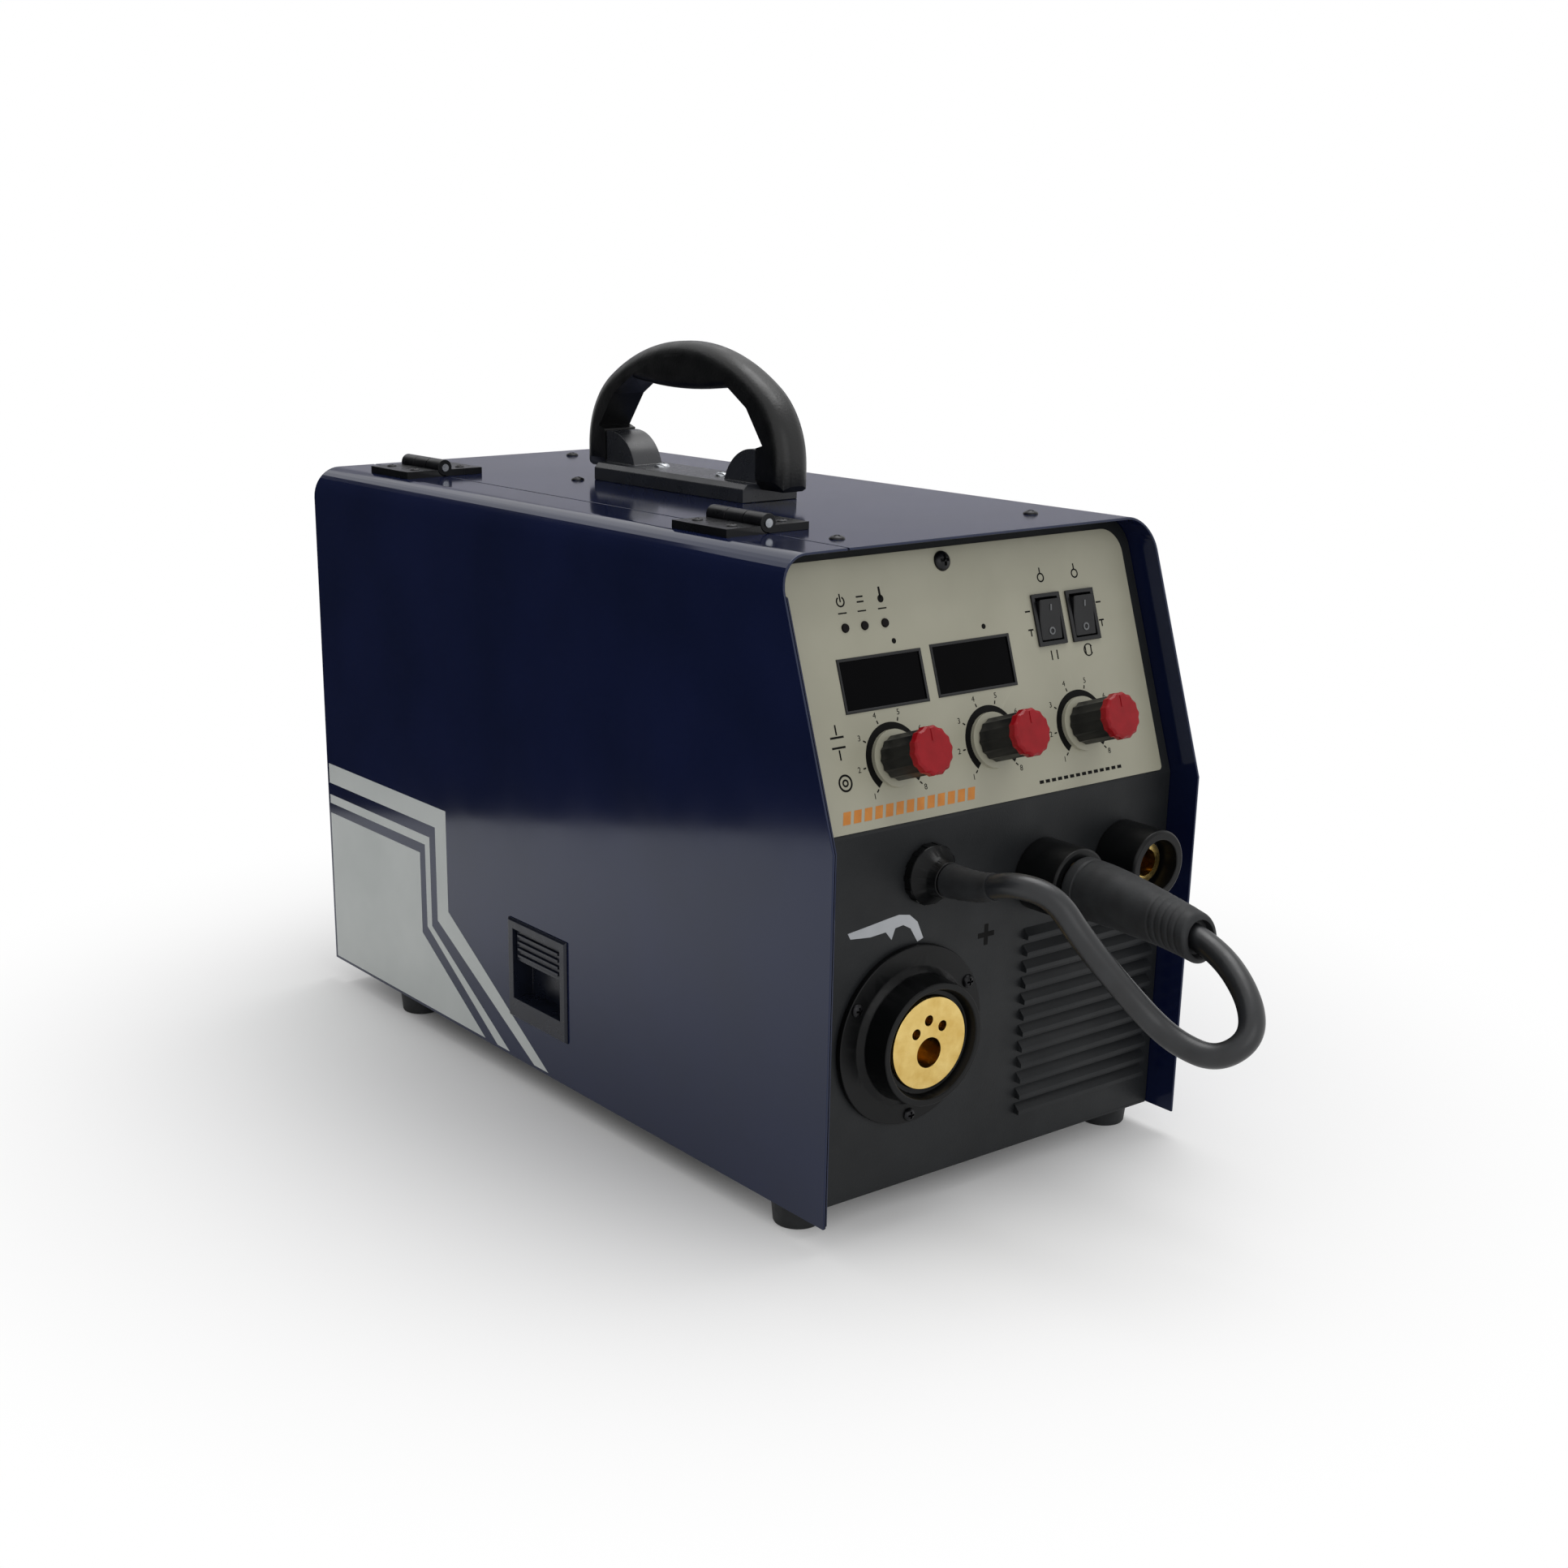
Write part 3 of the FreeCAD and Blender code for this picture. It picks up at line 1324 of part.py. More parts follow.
def fan_slots():
    # Straight slots that fill the circle in front of the fan.
    slots = []
    pitch = 8.0
    reach = fan_size / 2.0 - 4.0
    for index in range(-5, 6):
        offset = index * pitch
        half = math.sqrt(reach ** 2 - offset ** 2)
        for x0, x1 in ((-half, -2.0), (2.0, half)):
            slots.append(block(fan_x + x0, fan_x + x1, rear_back_y - 1, rear_face_y + 1,
                               fan_z + offset - 2.2, fan_z + offset + 2.2))
    return slots


def cord_gland_neck():
    return 9.5


def power_cord_gland():
    # The mains lead's gland: body, dome nut and bore, left empty.
    start = vector(cord_gland_x, 0, cord_gland_z)
    bore = cord_gland_bore
    neck = cord_gland_neck()
    outline = [(bore, rear_back_y - 8.0), (neck, rear_back_y - 8.0), (neck, rear_face_y),
               (neck + 3.5, rear_face_y), (neck + 3.5, rear_face_y + 5.0), (neck + 1.0, rear_face_y + 14.0),
               (bore + 1.5, rear_face_y + 20.0), (bore, rear_face_y + 20.0)]
    return turned(outline, start, rearward)


def gas_inlet():
    # A brass hose tail with a hex shoulder.
    start = vector(gas_inlet_x, 0, gas_inlet_z)
    face = rear_face_y
    corners = []
    for index in range(6):
        angle = math.radians(60.0 * index)
        corners.append(vector(gas_inlet_x + 9.0 * math.cos(angle), face,
                              gas_inlet_z + 9.0 * math.sin(angle)))
    hexagon = Part.Face(Part.makePolygon(corners + [corners[0]])).extrude(vector(0, 5.0, 0))
    barb = gas_barb_radius
    tail = gas_inlet_length
    outline = [(2.5, rear_back_y - 12.0), (6.0, rear_back_y - 12.0), (6.0, face + 5.0), (barb, face + 5.0),
               (barb, face + tail - 3.0), (barb - 1.0, face + tail), (2.5, face + tail)]
    stem = turned(outline, start, rearward)
    hole = rod(vector(gas_inlet_x, face - 1, gas_inlet_z), rearward, 2.5, 8.0)
    return hexagon.cut(hole).fuse(stem).removeSplitter()


def heatsink():
    # A comb of cooling fins under a plate; its two outer fins stand on the base.
    x0 = divider_right + 14.0
    x1 = skin_half_width - base_thickness - 4.0
    y0 = 206.0
    y1 = 392.0
    plate = block(x0, x1, y0, y1, 62.0, 68.0)
    fins = 11
    thickness = 2.2
    pitch = (x1 - x0 - thickness) / (fins - 1)
    pieces = [plate]
    for index in range(fins):
        low = base_thickness if index in (0, fins - 1) else 12.0
        x = x0 + index * pitch
        pieces.append(block(x, x + thickness, y0, y1, low, 62.0))
    return join(pieces)


def inverter_board():
    x0 = divider_right + 6.0
    x1 = skin_half_width - 4.0
    low = 86.0
    board = block(x0, x1, 190.0, 400.0, low, low + 2.0)
    legs = []
    for x in (x0 + 14.0, x1 - 14.0):
        for y in (212.0, 384.0):
            legs.append(block(x - 3.0, x + 3.0, y - 3.0, y + 3.0, 68.0, low))
    chips = [block(x, x + 16.0, 230.0, 252.0, low + 2.0, low + 8.0) for x in (24.0, 48.0, 72.0)]
    cans = []
    for y in (290.0, 330.0, 370.0):
        cans.append(rod(vector(40.0, y, low + 2.0), up, 15.0, 48.0))
    return join([board] + legs + chips + cans)


def main_transformer():
    # A ferrite core on a foot plate, round a square winding.
    y0 = 140.0
    y1 = 196.0
    x0 = divider_right + 14.0
    foot = block(x0, x0 + 72.0, y0, y1, base_thickness, 4.0)
    core = block(x0 + 4.0, x0 + 68.0, y0 + 12.0, y1 - 12.0, 4.0, 66.0)
    window = block(x0 + 16.0, x0 + 56.0, y0, y1, 16.0, 54.0)
    winding = block(x0 + 17.0, x0 + 55.0, y0 + 3.0, y1 - 3.0, 16.0, 54.0)
    return join([foot, core.cut(window), winding])


def output_choke():
    # A ring core standing on its saddle behind the louvres.
    x = 66.0
    y = 42.0
    z = 36.0
    ring = tube(vector(x, y, z), rearward, 30.0, 12.0, 28.0)
    saddle = block(x - 20.0, x + 20.0, y - 2.0, y + 30.0, base_thickness, 14.0)
    bed = rod(vector(x, y - 3.0, z), rearward, 30.0, 34.0)
    return join([ring, saddle.cut(bed)])


def build_parts():
    parts = {
        "base_pan": base_pan(),
        "rubber_feet": rubber_feet(),
        "divider_wall": divider_wall(),
        "front_panel": front_panel(),
        "rear_panel": rear_panel(),
        "top_cover": top_cover(),
        "side_door": side_door(),
        "hinge_fixed_leaves": hinge_fixed_leaves(),
        "hinge_door_leaves": hinge_door_leaves(),
        "hinge_pins": hinge_pins(),
        "latch_housing": latch_housing(),
        "latch_slide": latch_slide(),
        "handle_base": handle_base(),
        "carry_handle": carry_handle(),
        "control_fascia": control_fascia(),
        "display_windows": display_windows(),
        "indicator_leds": indicator_leds(),
        "control_board": control_board(),
        "potentiometers": potentiometers(),
        "switch_frames": switch_frames(),
        "power_switch": power_switch(),
        "torch_connector": torch_connector(),
        "torch_brass": torch_brass(),
        "output_sockets": output_sockets(),
        "socket_brasses": socket_brasses(),
        "polarity_gland": polarity_gland(),
        "polarity_cable": polarity_cable(),
        "polarity_plug": polarity_plug(),
        "feeder_plate": feeder_plate(),
        "feeder_pins": feeder_pins(),
        "drive_motor": drive_motor(),
        "drive_shaft": drive_shaft(),
        "drive_roll": drive_roll(),
        "pressure_roll": pressure_roll(),
        "pressure_arm": pressure_arm(),
        "tension_lever": tension_lever(),
        "tension_knob": tension_knob(),
        "tension_spring": tension_spring(),
        "wire_guides": wire_guides(),
        "spool_axle": spool_axle(),
        "spool_hub": spool_hub(),
        "hub_nut": hub_nut(),
        "fan_frame": fan_frame(),
        "fan_rotor": fan_rotor(),
        "power_cord_gland": power_cord_gland(),
        "gas_inlet": gas_inlet(),
        "heatsink": heatsink(),
        "inverter_board": inverter_board(),
        "main_transformer": main_transformer(),
        "output_choke": output_choke(),
    }
    for side, (x, height) in knob_places.items():
        parts["knob_" + side] = knob_body(x, height)
        parts["knob_cap_" + side] = knob_cap(x, height)
    for side, (x, height) in rocker_places.items():
        parts["rocker_" + side] = fascia_rocker(x, height)
    return parts


def row_origin():
    # The middle of the machine without its lead, on the surface under the feet.
    left = -half_width - latch_flange_proud
    right = half_width
    front = min(socket_rim_y, torch_barrel_front, knob_front_y())
    rear = max(case_length, rear_face_y + gas_inlet_length)
    return vector((left + right) / 2.0, (front + rear) / 2.0, -foot_height)


def knob_front_y():
    height = knob_places["middle"][1]
    return slope_point(0, height - knob_cap_radius, knob_height).y


os.makedirs("parts", exist_ok=True)
origin = row_origin()
print("row origin in the case frame", [round(value, 2) for value in origin])
for name, shape in build_parts().items():
    moved = shape.copy()
    moved.translate(origin.negative())
    moved.exportStep("parts/" + name + ".step")
    if not moved.isValid():
        print("not valid:", name)
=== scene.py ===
import json
import math

import bmesh
import bpy
from mathutils import Matrix, Vector

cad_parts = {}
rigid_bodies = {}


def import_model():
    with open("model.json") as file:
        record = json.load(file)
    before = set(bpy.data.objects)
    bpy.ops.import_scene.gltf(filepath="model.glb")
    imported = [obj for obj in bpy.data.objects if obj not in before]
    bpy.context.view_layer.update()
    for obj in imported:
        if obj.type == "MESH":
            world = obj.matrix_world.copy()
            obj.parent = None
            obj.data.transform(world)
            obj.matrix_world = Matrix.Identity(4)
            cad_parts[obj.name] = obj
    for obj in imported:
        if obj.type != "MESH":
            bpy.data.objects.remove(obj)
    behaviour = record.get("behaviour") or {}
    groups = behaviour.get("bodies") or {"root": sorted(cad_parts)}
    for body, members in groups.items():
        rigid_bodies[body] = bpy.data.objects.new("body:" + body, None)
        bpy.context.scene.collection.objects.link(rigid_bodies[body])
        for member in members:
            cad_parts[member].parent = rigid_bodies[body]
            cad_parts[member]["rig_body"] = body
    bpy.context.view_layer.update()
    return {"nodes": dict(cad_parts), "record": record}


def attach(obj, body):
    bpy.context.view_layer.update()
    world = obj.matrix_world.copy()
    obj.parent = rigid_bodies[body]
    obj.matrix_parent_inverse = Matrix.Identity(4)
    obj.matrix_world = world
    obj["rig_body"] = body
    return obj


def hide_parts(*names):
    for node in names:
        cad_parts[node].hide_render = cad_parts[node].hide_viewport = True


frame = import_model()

scene = bpy.context.scene
scene.view_settings.view_transform = "Standard"


# Small tools: places, nodes, meshes, pieces

caseCorner = Vector((-0.8, 229.0, -12.0))  # where the case's own zero lies, mm
kneeHeight = 170.0
recess = 15.0
slope = math.atan2(40.6, 118.0)            # the sloping control face leans back this far


def place(x, y, z):
    # millimetres on the case to metres in the frame
    return (Vector((x, y, z)) - caseCorner) / 1000


def facing(direction, spin=0.0):
    # turns a piece's own Z to a direction
    turn = Vector(direction).to_track_quat("Z", "Y").to_matrix()
    return turn @ Matrix.Rotation(spin, 3, "Z")


fasciaTurn = Matrix.Rotation(math.pi / 2 - slope, 3, "X")
millimetres = Matrix.Scale(0.001, 4)
fasciaFrame = Matrix.Translation(place(0, recess, kneeHeight)) @ fasciaTurn.to_4x4() @ millimetres


def onFascia(x, height, out=0.0):
    return fasciaFrame @ Vector((x, height, out))


def framed(spot, turn):
    return Matrix.Translation(spot) @ turn.to_4x4() @ millimetres


def linear(hexCode):
    # an sRGB hex value as the linear colour that the shaders take
    values = []
    for start in (1, 3, 5):
        share = int(hexCode[start:start + 2], 16) / 255
        values.append(share / 12.92 if share <= 0.04045 else ((share + 0.055) / 1.055) ** 2.4)
    return (*values, 1.0)


def addNode(tree, kind, settings=None, inputs=None):
    made = tree.nodes.new(kind)
    for key, value in (settings or {}).items():
        setattr(made, key, value)
    for key, value in (inputs or {}).items():
        if isinstance(value, bpy.types.NodeSocket):
            tree.links.new(value, made.inputs[key])
        else:
            made.inputs[key].default_value = value
    return made


def meshOf(name, bm, smooth=35.0):
    bmesh.ops.recalc_face_normals(bm, faces=bm.faces)
    mesh = bpy.data.meshes.new(name)
    bm.to_mesh(mesh)
    bm.free()
    mesh.shade_smooth()
    mesh.set_sharp_from_angle(angle=math.radians(smooth))
    return mesh


def addPrism(bm, outline, low, high, matrix):
    # a thin plate with a flat outline, for print, decals and cut sheet
    lower = [bm.verts.new(matrix @ Vector((x, y, low))) for x, y in outline]
    upper = [bm.verts.new(matrix @ Vector((x, y, high))) for x, y in outline]
    bm.faces.new(upper)
    bm.faces.new(lower[::-1])
    for index in range(len(outline)):
        after = (index + 1) % len(outline)
        bm.faces.new((lower[index], lower[after], upper[after], upper[index]))


def addRings(bm, rings, closedLoop=False):
    # skins a row of equal rings, with a flat end at both ends unless they close on themselves
    rows = [[bm.verts.new(point) for point in ring] for ring in rings]
    pairs = list(zip(rows, rows[1:]))
    if closedLoop:
        pairs.append((rows[-1], rows[0]))
    for near, far in pairs:
        for index in range(len(near)):
            after = (index + 1) % len(near)
            bm.faces.new((near[index], near[after], far[after], far[index]))
    if not closedLoop:
        bm.faces.new(rows[0][::-1])
        bm.faces.new(rows[-1])


def addTurned(bm, outline, matrix, steps=64):
    # a closed outline of radius and height, turned about the matrix's Z
    rings = []
    for radius, height in outline:
        ring = []
        for step in range(steps):
            angle = 2 * math.pi * step / steps
            ring.append(matrix @ Vector((radius * math.cos(angle), radius * math.sin(angle), height)))
        rings.append(ring)
    addRings(bm, rings, closedLoop=True)
    bmesh.ops.remove_doubles(bm, verts=bm.verts, dist=1e-7)


def addTube(bm, points, radii, sides=20):
    # a tube along points, with its own radius at each, all in metres
    rings = []
    side = None
    for index, point in enumerate(points):
        ahead = points[min(index + 1, len(points) - 1)] - points[max(index - 1, 0)]
        ahead.normalize()
        if side is None:
            side = ahead.orthogonal()
        side = (side - ahead * side.dot(ahead)).normalized()
        other = ahead.cross(side)
        ring = []
        for step in range(sides):
            angle = 2 * math.pi * step / sides
            ring.append(point + (side * math.cos(angle) + other * math.sin(angle)) * radii[index])
        rings.append(ring)
    addRings(bm, rings)


slotOf = {part["node"]: part["material_slot"] for part in frame["record"]["subparts"]}
bodyOf = {node: piece["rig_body"] for node, piece in frame["nodes"].items()}


def addPiece(name, mesh, body, finish, stands=()):
    piece = bpy.data.objects.new(name, mesh)
    scene.collection.objects.link(piece)
    mesh.materials.clear()
    mesh.materials.append(finish)
    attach(piece, body)
    if stands:
        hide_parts(*stands)
    return piece


# Finishes

def startFinish(name, rough, metal=0.0, settings=None):
    finish = bpy.data.materials.new(name)
    finish.use_nodes = True
    tree = finish.node_tree
    tree.nodes.clear()
    values = {"Roughness": rough, "Metallic": metal}
    values.update(settings or {})
    shader = addNode(tree, "ShaderNodeBsdfPrincipled", inputs=values)
    addNode(tree, "ShaderNodeOutputMaterial", inputs={"Surface": shader.outputs["BSDF"]})
    where = addNode(tree, "ShaderNodeTexCoord").outputs["Object"]
    return finish, tree, shader, where


def drift(tree, where, sizeMm, value, first, second, detail=3.0):
    # a value or colour that drifts between two over patches of a real size
    noise = addNode(tree, "ShaderNodeTexNoise",
                    inputs={"Vector": where, "Scale": 1000 / sizeMm, "Detail": detail})
    spread = addNode(tree, "ShaderNodeMapRange",
                     inputs={"Value": noise.outputs["Fac"], "From Min": 0.3, "From Max": 0.7})
    if value == "colour":
        mix = addNode(tree, "ShaderNodeMix", {"data_type": "RGBA"},
                      {0: spread.outputs["Result"], 6: linear(first), 7: linear(second)})
        return mix.outputs[2]
    spread.inputs["To Min"].default_value = first
    spread.inputs["To Max"].default_value = second
    return spread.outputs["Result"]


def grained(name, colours, rough, patchMm, grainMm, depthMm, metal=0.0, roughSpread=0.05, settings=None):
    # a surface whose colour and gloss drift in patches, over a fine raised grain
    finish, tree, shader, where = startFinish(name, rough, metal, settings)
    tree.links.new(drift(tree, where, patchMm, "colour", *colours), shader.inputs["Base Color"])
    gloss = drift(tree, where, patchMm * 0.6, "value", rough - roughSpread, rough + roughSpread)
    tree.links.new(gloss, shader.inputs["Roughness"])
    grain = addNode(tree, "ShaderNodeTexNoise",
                    inputs={"Vector": where, "Scale": 1000 / grainMm, "Detail": 2.0})
    bump = addNode(tree, "ShaderNodeBump",
                   inputs={"Height": grain.outputs["Fac"], "Distance": depthMm / 1000})
    tree.links.new(bump.outputs["Normal"], shader.inputs["Normal"])
    return finish


# Powder coat on folded sheet: a smooth, fairly glossy film with a shallow orange peel about 2 mm across,
# which keeps reflections sharp but lets their edges waver, and turns them a little blue.
navyCoat = grained("semi-gloss powder-coated sheet steel, navy", ("#0e1530", "#121938"), 0.11, 60, 2.4,
                   0.003, roughSpread=0.015,
                   settings={"Specular IOR Level": 0.46, "Specular Tint": linear("#dfe9ff")})
# Fine-texture powder coat: a dry, even grain half a millimetre across; drawn at 0.8 mm to show.
blackCoat = grained("fine-texture powder-coated sheet steel, black", ("#181a1c", "#1f2123"), 0.48, 25, 0.8,
                    0.05, settings={"Specular IOR Level": 0.25})
# Hinges: cast, coated and handled, so a little glossier on the flats.
hingeCoat = grained("semi-gloss stove-enamelled steel, black", ("#0c0d10", "#131417"), 0.3, 12, 1.2, 0.02,
                    settings={"Specular IOR Level": 0.3})
# Screen-printed polycarbonate overlay: flat cream ink under a velvet-textured film.
creamFilm = grained("velvet-finish printed polycarbonate overlay, cream grey", ("#9f9d8b", "#a8a694"), 0.38,
                    40, 0.5, 0.02)
# The latch: moulded in a blue-black that comes near the paint.
latchShell = grained("satin moulded ABS, blue black", ("#10141f", "#161a27"), 0.3, 12, 0.9, 0.008,
                     settings={"Specular IOR Level": 0.4})
# Moulded rubber: dull, slightly greyed, with the cloudy bloom that rubber gets.
mouldedRubber = grained("moulded nitrile rubber, black", ("#191a1c", "#232527"), 0.6, 8, 0.7, 0.03,
                        settings={"Specular IOR Level": 0.35})
# Extruded rubber: a waxy skin, so the light runs along the top of each bend.
leadRubber = grained("extruded rubber cable sheath, black", ("#17181a", "#202225"), 0.36, 14, 1.0, 0.03)
# ABS switch parts: smooth tool finish, a soft satin sheen.
satinPlastic = grained("satin moulded ABS, black", ("#101113", "#161719"), 0.33, 10, 0.9, 0.01,
                       settings={"Specular IOR Level": 0.3})
# Polyamide connector shells: semi-matt with faint flow marks.
nylonShell = grained("moulded polyamide, black", ("#08090a", "#0d0e0f"), 0.34, 18, 1.1, 0.02,
                     settings={"Specular IOR Level": 0.18})
# Knob caps: glossy coloured cap stock, nearly flawless.
redCap = grained("gloss moulded ABS, red", ("#8a0d16", "#98121c"), 0.24, 6, 0.9, 0.008, roughSpread=0.02,
                 settings={"Specular IOR Level": 0.2})
# Smoked acrylic: near-black and mirror smooth over the dark board.
smokedAcrylic = grained("polished smoked acrylic window", ("#030304", "#050507"), 0.07, 20, 6.0, 0.002,
                        roughSpread=0.02, settings={"Specular IOR Level": 0.03})
# An unlit lamp's lens: dark diffused epoxy with a clear skin.
lampLens = grained("diffused epoxy lamp lens, unlit", ("#070405", "#0c0607"), 0.16, 2, 0.8, 0.004,
                   roughSpread=0.02, settings={"Specular IOR Level": 0.1})
# Bright zinc plate: a cool grey metal with a faint crystal spangle a few millimetres across.
zincPlate = grained("bright zinc-plated steel", ("#a9adb2", "#c3c6ca"), 0.3, 4, 0.9, 0.006, metal=1.0,
                    roughSpread=0.08)
blackScrew = grained("black zinc-plated steel screw", ("#141416", "#1d1d20"), 0.34, 2, 0.6, 0.01,
                     metal=0.6)
# Pressure die casting: light grey with a sandy skin and cloudy flow marks.
castAlloy = grained("die-cast aluminium alloy", ("#8d9093", "#a5a8ab"), 0.45, 16, 0.7, 0.03, metal=1.0,
                    roughSpread=0.1)
# Sintered ferrite and its tape: a dead dark grey-brown.
ferriteCore = grained("sintered ferrite with polyester tape", ("#2b2826", "#3a3531"), 0.62, 12, 0.8, 0.03)
# Cut vinyl film: even and satin, with a slight lift of grain.
paleVinyl = grained("satin cut vinyl film, white grey", ("#b4b9b7", "#bec2c0"), 0.4, 50, 1.2, 0.004)
silverVinyl = grained("satin cut vinyl film, silver", ("#a5a8ac", "#b4b7bb"), 0.32, 20, 0.8, 0.004,
                      metal=0.3)
# Screen-print inks: thin, flat and a touch duller than the film.
blackInk = grained("screen-print ink, black", ("#050505", "#0a0a09"), 0.6, 8, 0.5, 0.003,
                   settings={"Specular IOR Level": 0.1})
amberInk = grained("screen-print ink, amber", ("#bd7220", "#cc8430"), 0.45, 6, 0.5, 0.003)
whiteInk = grained("screen-print ink, white", ("#d9dad6", "#e4e5e1"), 0.45, 6, 0.5, 0.003)
# Worn white ink on black plastic reads as a mid grey.
greyInk = grained("worn screen-print ink, grey", ("#5c5e60", "#6d6f71"), 0.5, 3, 0.5, 0.003)


# The handle's foot: a smoother moulding than the grip, and greyer.
handleFoot = grained("satin moulded nylon, dark grey", ("#24262a", "#2e3035"), 0.28, 20, 1.0, 0.006,
                     settings={"Specular IOR Level": 0.6})


def makeHandlePlastic():
    # Glass-filled nylon from a spark-eroded tool: a leathery pebble grain about 1 mm across
    # that breaks the highlight along the grip.
    finish, tree, shader, where = startFinish("pebble-grained glass-filled nylon, black", 0.36,
                                              settings={"Specular IOR Level": 0.4})
    tree.links.new(drift(tree, where, 25, "colour", "#08090a", "#0f1011"), shader.inputs["Base Color"])
    tree.links.new(drift(tree, where, 9, "value", 0.3, 0.42), shader.inputs["Roughness"])
    cells = addNode(tree, "ShaderNodeTexVoronoi", {"feature": "SMOOTH_F1"},
                    {"Vector": where, "Scale": 1000 / 1.3, "Smoothness": 0.6})
    bump = addNode(tree, "ShaderNodeBump",
                   inputs={"Height": cells.outputs["Distance"], "Distance": 0.00006, "Strength": 0.7})
    tree.links.new(bump.outputs["Normal"], shader.inputs["Normal"])
    return finish


def makeTurnedBrass(name, x, z):
    # Free-cutting brass faced on a lathe: tool rings 0.5 mm apart about the axis, drawn that coarse
    # to show, that fan the highlight.
    finish, tree, shader, where = startFinish(name, 0.2, 1.0)
    axis = place(x, 0, z)
    centred = addNode(tree, "ShaderNodeMapping", inputs={"Vector": where, "Location": (-axis.x, 0, -axis.z)})
    split = addNode(tree, "ShaderNodeSeparateXYZ", inputs={"Vector": centred.outputs["Vector"]})
    flat = addNode(tree, "ShaderNodeCombineXYZ",
                   inputs={"X": split.outputs["X"], "Y": split.outputs["Z"]})
    reach = addNode(tree, "ShaderNodeVectorMath", {"operation": "LENGTH"},
                    {0: flat.outputs["Vector"]})
    wave = addNode(tree, "ShaderNodeMath", {"operation": "MULTIPLY"},
                   {0: reach.outputs["Value"], 1: 2 * math.pi / 0.0005})
    rings = addNode(tree, "ShaderNodeMath", {"operation": "SINE"}, {0: wave.outputs[0]})
    bump = addNode(tree, "ShaderNodeBump",
                   inputs={"Height": rings.outputs[0], "Distance": 0.00001, "Strength": 0.6})
    tree.links.new(bump.outputs["Normal"], shader.inputs["Normal"])
    tree.links.new(drift(tree, where, 7, "colour", "#cfae62", "#e0c47c"), shader.inputs["Base Color"])
    tree.links.new(drift(tree, where, 3, "value", 0.16, 0.28), shader.inputs["Roughness"])
    return finish


def makeExtrusion():
    # Extruded aluminium: die lines that run from front to rear.
    finish, tree, shader, where = startFinish("extruded aluminium", 0.35, 1.0)
    drawn = addNode(tree, "ShaderNodeMapping", inputs={"Vector": where, "Scale": (1.0, 0.02, 1.0)})
    tree.links.new(drift(tree, drawn.outputs["Vector"], 1.5, "colour", "#b4b7ba", "#c9cbce"),
                   shader.inputs["Base Color"])
    lines = addNode(tree, "ShaderNodeTexNoise", inputs={"Vector": drawn.outputs["Vector"], "Scale": 1200.0})
    bump = addNode(tree, "ShaderNodeBump", inputs={"Height": lines.outputs["Fac"], "Distance": 0.00002})
    tree.links.new(bump.outputs["Normal"], shader.inputs["Normal"])
    return finish


def makeCircuitBoard():
    # Glass-epoxy board: green solder mask that shows its copper tracks as paler raised bands.
    finish, tree, shader, where = startFinish("solder-masked glass-epoxy circuit board", 0.3)
    tracks = addNode(tree, "ShaderNodeTexBrick", {"offset": 0.37},
                     {"Vector": where, "Scale": 90.0, "Mortar Size": 0.06, "Mortar Smooth": 0.2,
                      "Color1": linear("#0c4a26"), "Color2": linear("#0f5530"), "Mortar": linear("#1f7a45")})
    tree.links.new(tracks.outputs["Color"], shader.inputs["Base Color"])
    bump = addNode(tree, "ShaderNodeBump", inputs={"Height": tracks.outputs["Fac"], "Distance": 0.00004})
    tree.links.new(bump.outputs["Normal"], shader.inputs["Normal"])
    return finish


handlePlastic = makeHandlePlastic()
finishes = {
    "navy_paint": navyCoat, "black_paint": blackCoat, "cream_plate": creamFilm, "black_rubber": mouldedRubber,
    "handle_plastic": handlePlastic, "black_plastic": satinPlastic, "red_plastic": redCap,
    "display_plastic": smokedAcrylic, "lamp_plastic": lampLens, "zinc_steel": zincPlate,
    "brass": makeTurnedBrass("turned free-cutting brass, torch socket", -52.0, 73.0),
    "circuit_board": makeCircuitBoard(), "aluminium": makeExtrusion(), "cast_alloy": castAlloy,
    "ferrite": ferriteCore,
}
print("finishes made")


# Camera, light and floor

cameraSetup = {"place": (-0.6624, -0.868, 0.4274), "tilt": 72.14, "turn": -35.76, "lens": 48.90,
               "shift": (0.08256, 0.0832)}
cameraData = bpy.data.cameras.new("camera")
cameraData.lens = cameraSetup["lens"]
cameraData.sensor_width = 36
cameraData.shift_x, cameraData.shift_y = cameraSetup["shift"]
camera = bpy.data.objects.new("camera", cameraData)
camera.location = cameraSetup["place"]
camera.rotation_euler = (math.radians(cameraSetup["tilt"]), 0, math.radians(cameraSetup["turn"]))
scene.collection.objects.link(camera)
scene.camera = camera

lights = {
    "overhead": {"place": (0.35, 0.05, 1.7), "aim": (0, 0, 0.15), "size": 1.1, "power": 13.0},
    "frontFill": {"place": (-0.5, -1.9, 0.9), "aim": (0, -0.1, 0.15), "size": 1.2, "power": 4.0},
}
for name, values in lights.items():
    data = bpy.data.lights.new(name, "AREA")
    data.size = values["size"]
    data.energy = values["power"]
    lamp = bpy.data.objects.new(name, data)
    lamp.location = values["place"]
    lamp.rotation_euler = (Vector(values["aim"]) - lamp.location).to_track_quat("-Z", "Y").to_euler()
    scene.collection.objects.link(lamp)

